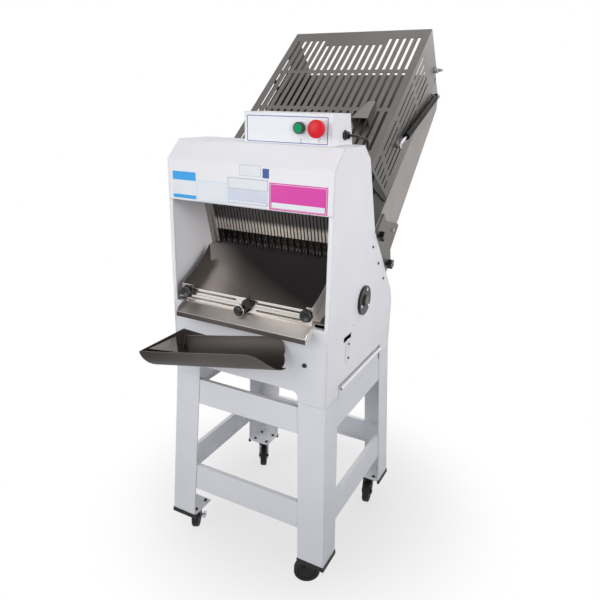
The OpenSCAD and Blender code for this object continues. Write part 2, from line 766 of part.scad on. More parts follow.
// Drive
module drive_shaft() color([0.7, 0.7, 0.72]) in_blades() {
    rod_x(-half_w - 6, chassis_w + 12, shaft_r);
    both_sides() {
        translate([0, 0, throw]) rod_x(front_strap_x + 8 + face_gap, 5, strap_r - face_gap);
        translate([0, 0, -throw]) rod_x(rear_strap_x + 8 + face_gap, 7, strap_r - face_gap);
    }
    rod_x(-pulley_x - belt_w / 2 - 4, belt_w + 8, pulley_r);
    rod_x(-pulley_x - belt_w / 2 - 4, 3.5, pulley_r + 4);
    rod_x(-pulley_x + belt_w / 2 + 0.5, 3.5, pulley_r + 4);
}
module belt_loop(r1, r2) {
    a = acos((r1 - r2) / belt_span);
    run_in = 0.1;
    circle(r = r1);
    translate([belt_span, 0]) circle(r = r2);
    polygon([
        (r1 - run_in) * [cos(a), sin(a)],
        (r1 - run_in) * [cos(a), -sin(a)],
        [belt_span, 0] + (r2 - run_in) * [cos(a), -sin(a)],
        [belt_span, 0] + (r2 - run_in) * [cos(a), sin(a)]
    ]);
}
module drive_belt() color([0.1, 0.1, 0.1]) translate([0, shaft_y, shaft_z]) rotate([belt_angle, 0, 0])
    along_x(-pulley_x - belt_w / 2, belt_w) difference() {
        belt_loop(pulley_r + face_gap + belt_t, motor_pulley_r + face_gap + belt_t);
        belt_loop(pulley_r + face_gap, motor_pulley_r + face_gap);
    }
module motor() color([0.35, 0.38, 0.42]) translate([0, motor_y, motor_z]) difference() {
    union() {
        rod_x(20 - pulley_x, motor_len, motor_r);
        rod_x(14 - pulley_x, 7, 30);
        translate([50 - pulley_x, -50, -motor_r - 6]) cube([motor_len - 60, 100, 40]);
    }
    rod_x(13 - pulley_x, 30, 9.5 + run_fit);
}
module motor_pulley() color([0.6, 0.6, 0.62]) translate([0, motor_y, motor_z]) {
    rod_x(-pulley_x - belt_w / 2 - 4, belt_w + 40, 9.5);
    rod_x(-pulley_x - belt_w / 2 - 4, belt_w + 8, motor_pulley_r);
    rod_x(-pulley_x - belt_w / 2 - 4, 3.5, motor_pulley_r + 4);
    rod_x(-pulley_x + belt_w / 2 + 0.5, 3.5, motor_pulley_r + 4);
}

// Discharge
module chute_band(r_out, r_in, y0, y1) intersection() {
    translate(chute_c) difference() {
        circle(r = r_out, $fn = 360);
        circle(r = r_in, $fn = 360);
    }
    translate([y0, sill_z]) square([y1 - y0, opening_z - sill_z]);
}
module discharge_chute() color([0.55, 0.53, 0.52]) difference() {
    union() {
        along_x(-inner_w, 2 * inner_w) chute_band(chute_r + chute_t, chute_r, lip_y - chute_t, shaft_y - 2);
        translate([-shelf_half, lip_y - chute_t, shelf_top])
            cube([2 * shelf_half, chute_t, lip_z - shelf_top]);
    }
    blade_gaps();
    in_blades() translate([-300, -face_gap, 0]) cube([600, 200, 300]);
}
module bar_slot(x0, x1, z) {
    translate([x0, 0, z]) rod_y(bar_y - 1, 5, stud_r + run_fit);
    translate([x1, 0, z]) rod_y(bar_y - 1, 5, stud_r + run_fit);
    translate([x0, bar_y - 1, z - stud_r - run_fit]) cube([x1 - x0, 5, 2 * (stud_r + run_fit)]);
}
module slotted_bar(z) difference() {
    translate([-bar_half, bar_y, z]) cube([2 * bar_half, 3, bar_h]);
    run = guide_travel + slot_past;
    bar_slot(-left_stud_x, run - left_stud_x, z + bar_h / 2);
    bar_slot(right_stud_x - run, right_stud_x, z + bar_h / 2);
}
module slotted_bars() color([0.8, 0.79, 0.78]) {
    slotted_bar(low_bar_z);
    slotted_bar(high_bar_z);
    translate([-22, bar_y + 3, low_bar_z - 2]) cube([48, 2, 2 * bar_h + 3]);
}
module star_knob() {
    rod_x(inner_w, 6, 6);
    rod_x(inner_w + 5, 15, star_r - 4);
    for (k = [0:4]) rotate([72 * k, 0, 0]) translate([0, star_r - 5, 0]) rod_x(inner_w + 5, 15, 5);
}
module clamp_knobs() color([0.07, 0.07, 0.07]) {
    translate([-9, 0, low_bar_z + bar_h / 2]) {
        rod_y(bar_y - 13, 13, 7);
        rod_y(bar_y - 26, 15, clamp_knob_r);
    }
    translate([12, 0, stud_z]) {
        rod_y(bar_y - 5, 5, 9);
        rod_y(bar_y - 19, 15, 14);
        translate([6, bar_y - 12, 10]) cylinder(r = 2.5, h = 15);
    }
    both_sides() in_feed() for (p = [[seat_s - 21, 222], [seat_s - 24, 365]])
        translate([0, -p[0], -p[1]]) star_knob();
}
module guide_sheet() {
    along_x(0, 1.5) chute_band(chute_r - face_gap, chute_r - guide_h, bar_y + 3 + face_gap, 146);
    along_x(1.5 - guide_foot, guide_foot)
        chute_band(chute_r - face_gap, chute_r - face_gap - 1.5, 14, 146);
}
module guide_tab(x0, x1, stud) {
    translate([x0, bar_y + 3 + face_gap, high_bar_z + 2]) cube([x1 - x0, 1.4, bar_h + 5]);
    translate([stud, 0, stud_z]) rod_y(bar_y - 12, 16, stud_r);
}
module left_guide() color([0.7, 0.69, 0.68]) {
    translate([-left_guide_x, 0, 0]) guide_sheet();
    guide_tab(-left_guide_x, 8 - left_stud_x, -left_stud_x);
}
module right_guide() color([0.7, 0.69, 0.68]) {
    translate([right_guide_x, 0, 0]) mirror([1, 0, 0]) guide_sheet();
    guide_tab(right_stud_x - 8, right_guide_x, right_stud_x);
}
module guide_knob(x) color([0.15, 0.15, 0.15]) translate([x, 0, stud_z]) difference() {
    union() {
        rod_y(bar_y - face_gap - 8, 8, guide_knob_r * 0.55);
        rod_y(bar_y - face_gap - 20, 14, guide_knob_r);
    }
    rod_y(bar_y - 12.5, 20, stud_r + run_fit);
}
module left_guide_knob() guide_knob(-left_stud_x);
module right_guide_knob() guide_knob(right_stud_x);
module bagging_shelf() color([0.8, 0.79, 0.78]) {
    front_z = sill_z - shelf_drop;
    along_x(-shelf_half, 2 * shelf_half) bent([
        [-shelf_reach, front_z - shelf_lip],
        [-shelf_reach, front_z],
        [-1, shelf_top],
        [13, shelf_top]
    ], 2);
    for (x = [-shelf_half, shelf_half - 2]) along_x(x, 2) polygon([
        [-shelf_reach, front_z - shelf_lip],
        [-shelf_reach, front_z],
        [-shelf_reach + 8, front_z + 12],
        [-1.5, shelf_top + 10],
        [-1.5, sill_z - 14]
    ]);
}
module scoop_section(in) intersection() {
    translate([-scoop_w / 2, 8]) circle(r = scoop_w / 2 - in);
    translate([-scoop_w - 1, -scoop_w]) square([scoop_w + 2, scoop_w]);
}
module at_scoop_end() translate([-scoop_left, -scoop_w, 0]) rotate([0, 0, -scoop_slant]) children();
module scoop_body(in) intersection() {
    along_x(-scoop_left - 60, scoop_left + scoop_right + 60 + in) scoop_section(in);
    at_scoop_end() translate([in, -400, -scoop_w]) cube([1200, 1200, scoop_w + 1]);
}
module scoop_mouth() {
    deep = scoop_w / 2;
    back = scoop_right - 37;
    translate([0, 20, 0]) rotate([90, 0, 0]) linear_extrude(deep + 20) difference() {
        polygon([
            [back - 45, 1],
            [scoop_right + 60, 1],
            [scoop_right + 60, -deep],
            [scoop_right - 16, -deep],
            [back + 0.5, -46],
            [back - 45, -46]
        ]);
        translate([back - 45, -44.5]) circle(r = 45);
    }
    translate([0, -deep, 0]) rotate([90, 0, 0]) linear_extrude(deep + 20) difference() {
        translate([scoop_right - 84, -deep]) square([150, deep + 1]);
        translate([scoop_right - 88, -deep - 9]) circle(r = deep + 9.6);
    }
}
module bag_scoop() color([0.4, 0.38, 0.36]) {
    edge = half_w - 31;
    slope = tan(scoop_tilt);
    translate([0, 0, scoop_z]) rotate([0, -scoop_tilt, 0]) {
        difference() {
            scoop_body(0);
            scoop_body(scoop_t);
            scoop_mouth();
        }
        at_scoop_end() rotate([90, 0, 90]) linear_extrude(scoop_t) polygon([
            [scoop_w * 0.04, -4],
            [scoop_w * 0.9, -24],
            [(scoop_w - 1) / cos(scoop_slant), -24],
            [(scoop_w - 1) / cos(scoop_slant), 21],
            [scoop_w * 0.04, 0.5]
        ]);
    }
    rotate([90, 0, 0]) linear_extrude(scoop_t) polygon([
        [-edge, scoop_z - edge * slope - 12],
        [-edge, scoop_z - edge * slope + 22],
        [100 - edge, scoop_z - edge * slope + 17],
        [112 - edge, scoop_z - edge * slope + 10],
        [112 - edge, scoop_z - (edge - 112) * slope - 24]
    ]);
}

// Infeed, drawn along the slope with the upper rear corner of the cover as origin
module infeed_floor() color([0.58, 0.56, 0.55]) difference() {
    in_feed() translate([-feed_half, -seat_s - 140, -floor_t - floor_sheet])
        cube([2 * feed_half, seat_s + 115, floor_sheet]);
    blade_gaps();
    in_blades() translate([-300, -200 + face_gap, 0]) cube([600, 200, 300]);
}
module infeed_side() in_feed() along_x(feed_half, feed_sheet) polygon(st([
    [4, floor_t - feed_wall + 10],
    [20, floor_t - feed_wall],
    [seat_s + 68, floor_t - feed_wall],
    [seat_s + 68, floor_t + 2],
    [seat_s - 11, floor_t + 2],
    [seat_s - 11, 353],
    [32, feed_end_t + 33],
    [4, feed_end_t]
]));
module infeed_sides() color([0.6, 0.58, 0.57]) both_sides() infeed_side();
module infeed_brackets() color([0.6, 0.58, 0.57]) both_sides()
    in_feed() along_x(plate_x, inner_w - plate_x) polygon(st([
        [seat_s - 89, 200],
        [seat_s - 89, 232],
        [seat_s - 163, 331],
        [seat_s - 163, 342],
        [seat_s - 70, 352],
        [seat_s - 56, 388],
        [seat_s + 44, 388],
        [seat_s + 44, 200]
    ]));
module cover_top() color([0.37, 0.36, 0.35]) in_feed() difference() {
    translate([-cover_half, -cover_len, -cover_t]) cube([2 * cover_half, cover_len, cover_t]);
    for (i = [0:slot_cols - 1]) {
        mid = i - (slot_cols - 1) / 2;
        first = abs(mid) > 4.5 ? 45 : 75;
        for (row = [[first, 207], [223, 388], [404, 569]])
            translate([mid * slot_pitch - slot_w / 2, -row[1], -cover_t - 1])
                cube([slot_w, row[1] - row[0], cover_t + 2]);
    }
}
module cover_side() in_feed() difference() {
    along_x(cover_half - cover_t, cover_t) polygon(st([
        [0, cover_t],
        [cover_len, cover_t],
        [cover_len - 52, cover_low_t],
        [70, cover_high_t],
        [0, hinge_t + 12]
    ]));
    for (k = [0:4]) {
        shift = k % 2 == 0 ? 0 : 58;
        for (s = [90 + shift:118:470])
            translate([cover_half - cover_t - 1, -s - 104, -26 - k * 24 - side_slot_w / 2])
                cube([cover_t + 2, 104, side_slot_w]);
    }
    translate([0, -hinge_s, -hinge_t]) rod_x(cover_half - 10, 20, hinge_r + run_fit);
}
module cover_sides() color([0.37, 0.36, 0.35]) {
    both_sides() cover_side();
    in_feed() translate([0, -gas_low_s, -gas_low_t])
        rod_x(cover_half - 1, gas_x - gas_eye_w / 2 - face_gap - cover_half + 1, 6);
}
module pull_block(in) hull() {
    translate([pull_x - 10.5 + in, -372 - in, -1]) cube([21 - 2 * in, 1, 11 - in]);
    translate([pull_x - 25 + in, -476 - in, -1]) cube([50 - 2 * in, 1, 36 - in]);
}
module cover_pull() color([0.37, 0.36, 0.35]) in_feed() difference() {
    pull_block(0);
    pull_block(2);
    translate([pull_x - 60, -500, -20]) cube([120, 200, 20]);
}
module hinge_pins() color([0.7, 0.7, 0.72]) {
    both_sides() in_feed() translate([0, -hinge_s, -hinge_t]) {
        rod_x(plate_x, cover_half + 7 - plate_x, hinge_r);
        rod_x(cover_half + face_gap, 7, hinge_r + 5);
    }
    in_feed() translate([0, -gas_top_s, -gas_top_t]) {
        rod_x(plate_x, gas_x + 8 - plate_x, 5);
        rod_x(plate_x, gas_x - gas_eye_w / 2 - face_gap - plate_x, 9);
    }
}
module in_spring() in_feed() translate([gas_x, -gas_top_s, -gas_top_t]) rotate([gas_lean, 0, 0]) children();
module gas_tube() color([0.08, 0.08, 0.08]) in_spring() difference() {
    union() {
        rod_x(-gas_eye_w / 2, gas_eye_w, 9.5);
        translate([0, 0, 4]) cylinder(r = 4.5, h = 16);
        translate([0, 0, 18]) cylinder(r = gas_tube_r, h = gas_tube_len - 18);
    }
    rod_x(-20, 40, 5 + run_fit);
    translate([0, 0, 30]) cylinder(r = gas_rod_r + run_fit, h = gas_tube_len);
}
module gas_rod() color([0.75, 0.75, 0.77]) in_spring() {
    translate([0, 0, gas_tube_len - 120]) cylinder(r = gas_rod_r, h = gas_len - gas_tube_len + 115);
    translate([0, 0, gas_len]) rod_x(-gas_eye_w / 2, gas_eye_w, 9);
}

placed() front_legs();
placed() rear_legs();
placed() leg_trims();
placed() upper_rails();
placed() lower_rails();
placed() caster_brackets();
placed() caster_plates();
placed() at_caster(-1, false, turn_fl) caster_fork();  // caster_fork_fl
placed() at_caster(1, false, turn_fr) caster_fork();  // caster_fork_fr
placed() at_caster(-1, true, turn_rl) caster_fork();  // caster_fork_rl
placed() at_caster(1, true, turn_rr) caster_fork();  // caster_fork_rr
placed() at_caster(-1, false, turn_fl) caster_wheel();  // caster_wheel_fl
placed() at_caster(1, false, turn_fr) caster_wheel();  // caster_wheel_fr
placed() at_caster(-1, true, turn_rl) caster_wheel();  // caster_wheel_rl
placed() at_caster(1, true, turn_rr) caster_wheel();  // caster_wheel_rr
placed() at_caster(-1, false, turn_fl) caster_lock();  // caster_lock_fl
placed() at_caster(1, false, turn_fr) caster_lock();  // caster_lock_fr
placed() side_panel_left();
placed() side_panel_right();
placed() front_hood();
placed() front_apron();
placed() rear_panel();
placed() bearing_flanges();
placed() crumb_tray();
placed() control_box();
placed() control_panel();
placed() button_bezels();
placed() start_button();
placed() stop_button();
placed() cable_gland();
placed() control_cable();
placed() blade_frame_front();
placed() blade_frame_rear();
placed() front_blades();
placed() rear_blades();
placed() upper_comb();
placed() frame_guides();
placed() drive_shaft();
placed() drive_belt();
placed() motor();
placed() motor_pulley();
placed() discharge_chute();
placed() slotted_bars();
placed() clamp_knobs();
placed() left_guide();
placed() right_guide();
placed() left_guide_knob();
placed() right_guide_knob();
placed() bagging_shelf();
placed() bag_scoop();
placed() infeed_floor();
placed() infeed_sides();
placed() infeed_brackets();
placed() cover_top();
placed() cover_sides();
placed() cover_pull();
placed() hinge_pins();
placed() gas_tube();
placed() gas_rod();
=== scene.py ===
# Bread slicer on a caster stand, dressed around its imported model.
import json
from math import atan2, copysign, cos, degrees, pi, radians, sin, tau

import bmesh
import bpy
from mathutils import Matrix, Vector
from mathutils.geometry import tessellate_polygon


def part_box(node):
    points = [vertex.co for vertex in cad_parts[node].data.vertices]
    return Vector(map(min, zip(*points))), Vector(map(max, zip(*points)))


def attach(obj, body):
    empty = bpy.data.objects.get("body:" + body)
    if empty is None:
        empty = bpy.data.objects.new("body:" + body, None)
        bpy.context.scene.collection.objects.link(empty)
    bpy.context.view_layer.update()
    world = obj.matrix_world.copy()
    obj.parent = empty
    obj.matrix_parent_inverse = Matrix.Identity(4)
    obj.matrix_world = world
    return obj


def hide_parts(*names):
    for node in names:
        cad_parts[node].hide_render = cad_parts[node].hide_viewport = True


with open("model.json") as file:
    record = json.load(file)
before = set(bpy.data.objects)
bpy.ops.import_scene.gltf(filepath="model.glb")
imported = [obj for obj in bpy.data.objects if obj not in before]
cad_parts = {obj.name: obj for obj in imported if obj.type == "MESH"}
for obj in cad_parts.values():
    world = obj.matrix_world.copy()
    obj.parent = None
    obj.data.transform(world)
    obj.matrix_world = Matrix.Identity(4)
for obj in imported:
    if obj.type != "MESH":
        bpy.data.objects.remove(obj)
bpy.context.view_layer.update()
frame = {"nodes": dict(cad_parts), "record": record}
nodes = frame["nodes"]
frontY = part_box("front_apron")[0].y  # front face of the cabinet
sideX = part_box("side_panel_right")[1].x  # outer face of the right side panel
print("frame loaded:", len(nodes), "nodes")


# Places in millimetres: x from the middle, y from the cabinet front, z from the floor
def at(x, y, z):
    return Vector((x / 1000, y / 1000 + frontY, z / 1000))


feed = {"y": 747, "z": 1647, "tilt": 39.4}  # upper rear corner of the cover and its slope


def onFeed(x, s, t):  # s runs down the slope, t goes below the cover top
    turn = radians(feed["tilt"])
    y = feed["y"] - s * cos(turn) + t * sin(turn)
    z = feed["z"] - s * sin(turn) - t * cos(turn)
    return at(x, y, z)


toFront, toRight, toTop = Vector((0, -1, 0)), Vector((1, 0, 0)), Vector((0, 0, 1))


def linked(name, data):  # a new object in the scene
    obj = bpy.data.objects.new(name, data)
    bpy.context.scene.collection.objects.link(obj)
    return obj


# Camera
camera = {
    "place": (815.2, -1270.3, 1417.5),
    "azimuth": 27.858,
    "elevation": 18.092,
    "roll": 1.11,
    "lens": 34.48,
    "shift": (0.01338, -0.0201),
    "sensor": 36,
    "clip": (0.05, 60),
}


def makeCamera(values):
    turn, rise = radians(values["azimuth"]), radians(values["elevation"])
    roll = radians(values["roll"])
    ahead = cos(rise)
    back = Vector((sin(turn) * ahead, -cos(turn) * ahead, sin(rise)))
    level = Vector((cos(turn), sin(turn), 0))
    upward = back.cross(level)
    right = cos(roll) * level + sin(roll) * upward
    over = -sin(roll) * level + cos(roll) * upward
    lensData = bpy.data.cameras.new("photoCamera")
    lensData.sensor_width = values["sensor"]
    lensData.lens = values["lens"]
    lensData.shift_x, lensData.shift_y = values["shift"]
    lensData.clip_start, lensData.clip_end = values["clip"]
    obj = linked("photoCamera", lensData)
    turned = Matrix((right, over, back)).transposed().to_4x4()
    obj.matrix_world = Matrix.Translation(at(*values["place"])) @ turned
    bpy.context.scene.camera = obj


makeCamera(camera)
print("camera set")


# Node helpers
def feedNode(tree, node, inputs):  # an input takes a value or another node's output
    for key, value in inputs.items():
        if isinstance(value, bpy.types.NodeSocket):
            tree.links.new(value, node.inputs[key])
        else:
            node.inputs[key].default_value = value


def addNode(tree, kind, inputs, **settings):
    node = tree.nodes.new(kind)
    for key, value in settings.items():
        setattr(node, key, value)
    feedNode(tree, node, inputs)
    return node


def mathOut(tree, operation, a, b, clamp=False):
    node = addNode(tree, "ShaderNodeMath", {0: a, 1: b}, operation=operation, use_clamp=clamp)
    return node.outputs[0]


def dotOut(tree, a, b):
    node = addNode(tree, "ShaderNodeVectorMath", {0: a, 1: b}, operation="DOT_PRODUCT")
    return node.outputs["Value"]


def spreadOut(tree, value, low, high):  # 0 up to low, 1 from high on
    inputs = {"Value": value, "From Min": low, "From Max": high}
    return addNode(tree, "ShaderNodeMapRange", inputs).outputs["Result"]


def objectPlace(tree):
    return tree.nodes.new("ShaderNodeTexCoord").outputs["Object"]


# Light and floor
light = {  # places and aims in millimetres, sizes in metres, spreads in degrees
    "world": 0.45, "tint": (0.93, 0.96, 1.0, 1),
    "key": {"place": (-1300, -2200, 1750), "size": 2.6, "power": 12.6, "spread": 90,
            "aim": (0, 0, 1250)},
    "fill": {"place": (1900, -900, 1600), "size": 1.2, "power": 4.1, "spread": 62,
             "aim": (254, 300, 1180)},
    "rear": {"place": (200, 2300, 2600), "size": 1.8, "power": 26, "spread": 180,
             "aim": (0, 250, 850)},
}
floor = {
    "reach": 14, "colour": (0.42, 0.42, 0.43, 1), "roughness": 0.85,
    "fade": (0.25, 0.8),  # metres over which it turns white
    "whiteShare": 0.7,  # share of white at the middle
}


def makeLamp(name, values):
    data = bpy.data.lights.new(name, "AREA")
    data.shape = "SQUARE"
    data.size = values["size"]
    data.energy = values["power"]
    data.spread = radians(values["spread"])
    obj = linked(name, data)
    obj.location = at(*values["place"])
    aim = at(*values["aim"]) - obj.location
    obj.rotation_mode = "QUATERNION"
    obj.rotation_quaternion = aim.to_track_quat("-Z", "Y")


def seenDirectly(tree):  # 1 for the camera and for what shows in metal
    path = tree.nodes.new("ShaderNodeLightPath").outputs
    either = mathOut(tree, "MAXIMUM", path["Is Camera Ray"], path["Is Glossy Ray"])
    return mathOut(tree, "MAXIMUM", either, path["Is Transmission Ray"])


def mixShaders(tree, share, low, high):
    inputs = {"Fac": share, 1: low.outputs[0], 2: high.outputs[0]}
    return addNode(tree, "ShaderNodeMixShader", inputs).outputs[0]


def makeWorld(values):
    world = bpy.data.worlds.new("studio")
    bpy.context.scene.world = world
    world.use_nodes = True
    tree = world.node_tree
    tree.nodes.clear()
    inputs = {"Color": values["tint"], "Strength": values["world"]}
    soft = addNode(tree, "ShaderNodeBackground", inputs)
    white = addNode(tree, "ShaderNodeBackground", {"Color": (1, 1, 1, 1), "Strength": 1})
    shown = mixShaders(tree, seenDirectly(tree), soft, white)
    addNode(tree, "ShaderNodeOutputWorld", {"Surface": shown})


def makeFloor(values):
    data = bpy.data.meshes.new("studioFloor")
    reach = values["reach"]
    corners = [(-reach, -reach, 0), (reach, -reach, 0), (reach, reach, 0), (-reach, reach, 0)]
    data.from_pydata(corners, [], [(0, 1, 2, 3)])
    obj = linked("studioFloor", data)
    pale = bpy.data.materials.new("paleFloor")
    pale.use_nodes = True
    tree = pale.node_tree
    shader, out = tree.nodes["Principled BSDF"], tree.nodes["Material Output"]
    feedNode(tree, shader, {"Base Color": values["colour"], "Roughness": values["roughness"]})
    away = addNode(tree, "ShaderNodeVectorMath", {0: objectPlace(tree)}, operation="LENGTH")
    start, full = values["fade"]
    inputs = {"Value": away.outputs["Value"], "From Min": start, "From Max": full,
              "To Min": values["whiteShare"]}
    fade = addNode(tree, "ShaderNodeMapRange", inputs, interpolation_type="SMOOTHSTEP")
    share = mathOut(tree, "MULTIPLY", fade.outputs["Result"], seenDirectly(tree))
    glow = addNode(tree, "ShaderNodeEmission", {"Strength": 1})
    feedNode(tree, out, {"Surface": mixShaders(tree, share, shader, glow)})
    data.materials.append(pale)


makeWorld(light)
for lampName in ("key", "fill", "rear"):
    makeLamp(lampName + "Lamp", light[lampName])
makeFloor(floor)
bpy.context.scene.view_settings.view_transform = "Standard"
print("light and floor set")


# Shader groups shared by the finishes
def shade(value):  # one sRGB channel, 0 to 255, as a linear value
    c = value / 255
    return c / 12.92 if c <= 0.04045 else ((c + 0.055) / 1.055) ** 2.4


def colour(r, g, b):
    return (shade(r), shade(g), shade(b), 1)


floatKind, vectorKind = "NodeSocketFloat", "NodeSocketVector"


def newGroup(name, inputs, outputs):
    group = bpy.data.node_groups.new(name, "ShaderNodeTree")
    for label, value in inputs.items():
        kind = vectorKind if isinstance(value, tuple) else floatKind
        socket = group.interface.new_socket(name=label, in_out="INPUT", socket_type=kind)
        socket.default_value = value
    for label, kind in outputs.items():
        group.interface.new_socket(name=label, in_out="OUTPUT", socket_type=kind)
    return group, group.nodes.new("NodeGroupInput").outputs


def maskGroup(name, inputs, maker):  # a group with one mask, which the maker works out
    group, start = newGroup(name, inputs, {"Mask": floatKind})
    addNode(group, "NodeGroupOutput", {"Mask": maker(group, start)})
    return group


def softEdgeGroup():  # rounded sheet edges, and a mask that marks them
    group, start = newGroup(
        "softEdge", {"Radius": 0.0015, "Gain": 5.0}, {"Normal": vectorKind, "Edge": floatKind})
    bevel = addNode(group, "ShaderNodeBevel", {"Radius": start["Radius"]}, samples=4)
    soft = bevel.outputs["Normal"]
    flat = group.nodes.new("ShaderNodeNewGeometry").outputs["Normal"]
    away = mathOut(group, "SUBTRACT", 1, dotOut(group, soft, flat))
    edge = mathOut(group, "MULTIPLY", away, start["Gain"], clamp=True)
    addNode(group, "NodeGroupOutput", {"Normal": soft, "Edge": edge})
    return group


def grainGroup():  # stretched noise: brushed lines, or a fine skin where the stretch is even
    group, start = newGroup("grain", {"Stretch": (1, 1, 1), "Scale": 300.0}, {"Lines": floatKind})
    inputs = {"Vector": objectPlace(group), "Scale": start["Stretch"]}
    stretch = addNode(group, "ShaderNodeMapping", inputs)
    inputs = {"Vector": stretch.outputs["Vector"], "Scale": start["Scale"], "Detail": 3}
    noise = addNode(group, "ShaderNodeTexNoise", inputs)
    addNode(group, "NodeGroupOutput", {"Lines": noise.outputs["Fac"]})
    return group


def smudgeMask(group, start):  # broad soft patches for handling marks and uneven tone
    inputs = {"Vector": objectPlace(group), "Scale": start["Scale"], "Detail": 4, "Roughness": 0.6}
    noise = addNode(group, "ShaderNodeTexNoise", inputs)
    return spreadOut(group, noise.outputs["Fac"], start["Low"], start["High"])


def upwardMask(group, start):  # faces turned up; the film tone laid on them is painted light: a lighter top on white enamel, painted shade in the scoop and on the feed floor
    normal = group.nodes.new("ShaderNodeNewGeometry").outputs["Normal"]
    parts = addNode(group, "ShaderNodeSeparateXYZ", {"Vector": normal})
    return spreadOut(group, parts.outputs["Z"], start["Start"], start["Full"])


def innerFaceMask(group, start):  # faces of a hood or lid that look inwards or down, darkened as painted shade
    place = group.nodes.new("ShaderNodeTexCoord").outputs
    spot, turn = (addNode(group, "ShaderNodeSeparateXYZ", {0: place[label]}).outputs
                  for label in ("Object", "Normal"))
    inward = mathOut(group, "MULTIPLY", spot["X"], turn["X"])
    deepest = mathOut(group, "MULTIPLY", start["Depth"], -1)
    sideways = mathOut(group, "LESS_THAN", inward, deepest)
    below = mathOut(group, "LESS_THAN", turn["Z"], start["Down"])
    return mathOut(group, "MAXIMUM", sideways, below)


def underLidMask(group, start):  # what lies under the lid, down to a depth below its top, darkened as painted shade
    turn = radians(feed["tilt"])
    down = Vector((0, sin(turn), -cos(turn)))
    corner = at(0, feed["y"], feed["z"])
    depth = mathOut(group, "SUBTRACT", dotOut(group, objectPlace(group), down), corner.dot(down))
    return mathOut(group, "LESS_THAN", depth, start["Depth"])


def rampMask(group, start):  # from nothing to full along a direction, for painted shade and painted light
    along = dotOut(group, objectPlace(group), start["Axis"])
    return spreadOut(group, along, start["Start"], start["Full"])


groups = {
    "softEdge": softEdgeGroup(),
    "grain": grainGroup(),
    "smudge": maskGroup("smudge", {"Scale": 6.0, "Low": 0.3, "High": 0.7}, smudgeMask),
    "upward": maskGroup("upward", {"Start": 0.1, "Full": 0.6}, upwardMask),
    "innerFace": maskGroup("innerFace", {"Depth": 0.1, "Down": -0.4}, innerFaceMask),
    "underLid": maskGroup("underLid", {"Depth": 0.19}, underLidMask),
    "ramp": maskGroup("ramp", {"Axis": (0, 0, 1), "Start": 0.0, "Full": 1.0}, rampMask),
}


def useGroup(tree, name, values):
    return addNode(tree, "ShaderNodeGroup", values, node_tree=groups[name]).outputs


def mixColours(tree, mask, low, high):
    inputs = {"A": low, "B": high, "Factor": mask}
    return addNode(tree, "ShaderNodeMix", inputs, data_type="RGBA").outputs["Result"]


# The film tone on faces turned up, the tone on inner faces and the tone under the lid are painted
# light and painted shade
toneKeys = ("colour", "patch", "worn", "lines", "film", "inside", "covered")
plainFinish = {  # what a finish has unless it says otherwise
    "metallic": 0, "ior": 1.45, "bump": 0.05, "bumpDepth": 0.0004, "edgeRadius": 0.0012,
    "patchScale": 7, "stretch": (1, 1, 1), "lineShare": 0.5, "filmShare": 0.85, "wearShare": 0.35,
}


def finishMaterial(name, **own):
    values = {**plainFinish, **own}
    tones = {key: colour(*values[key]) for key in toneKeys if key in values}
    made = bpy.data.materials.new(name)
    made.use_nodes = True
    tree = made.node_tree
    edge = useGroup(tree, "softEdge", {"Radius": values["edgeRadius"]})
    patches = useGroup(tree, "smudge", {"Scale": values["patchScale"]})["Mask"]
    inputs = {"Stretch": values["stretch"], "Scale": values["grainScale"]}
    lines = useGroup(tree, "grain", inputs)["Lines"]
    tone = mixColours(tree, patches, tones["colour"], tones["patch"])
    if "lines" in tones:
        faint = mathOut(tree, "MULTIPLY", lines, values["lineShare"])
        tone = mixColours(tree, faint, tone, tones["lines"])
    # film tone on faces turned up: painted light, lighter or darker as the finish gives it
    if "film" in tones:
        paintedTopMask = useGroup(tree, "upward", {})["Mask"]
        share = mathOut(tree, "MULTIPLY", paintedTopMask, values["filmShare"])
        tone = mixColours(tree, share, tone, tones["film"])
    # tone ramp along a direction: painted shade in the scoop, chute, comb and shelf, painted light
    # on the cover sides
    if "ramp" in values:
        ramp = values["ramp"]
        inputs = {"Axis": ramp["axis"], "Start": ramp["start"], "Full": ramp["full"]}
        turned = useGroup(tree, "ramp", inputs)["Mask"]
        tone = mixColours(tree, turned, tone, colour(*ramp["colour"]))
    # painted shade on the inner faces of the lid and on what lies under it
    for key, groupName in (("inside", "innerFace"), ("covered", "underLid")):
        if key in tones:
            tone = mixColours(tree, useGroup(tree, groupName, {})["Mask"], tone, tones[key])
    worn = mathOut(tree, "MULTIPLY", edge["Edge"], values["wearShare"])
    smooth, dull = values["roughness"]
    inputs = {"Value": lines if "lines" in tones else patches, "To Min": smooth, "To Max": dull}
    rough = addNode(tree, "ShaderNodeMapRange", inputs)
    inputs = {"Strength": values["bump"], "Distance": values["bumpDepth"], "Height": lines,
              "Normal": edge["Normal"]}
    bump = addNode(tree, "ShaderNodeBump", inputs)
    feedNode(tree, tree.nodes["Principled BSDF"], {
        "Base Color": mixColours(tree, worn, tone, tones["worn"]), "Metallic": values["metallic"],
        "IOR": values["ior"], "Roughness": rough.outputs["Result"],
        "Normal": bump.outputs["Normal"],
    })
    return made


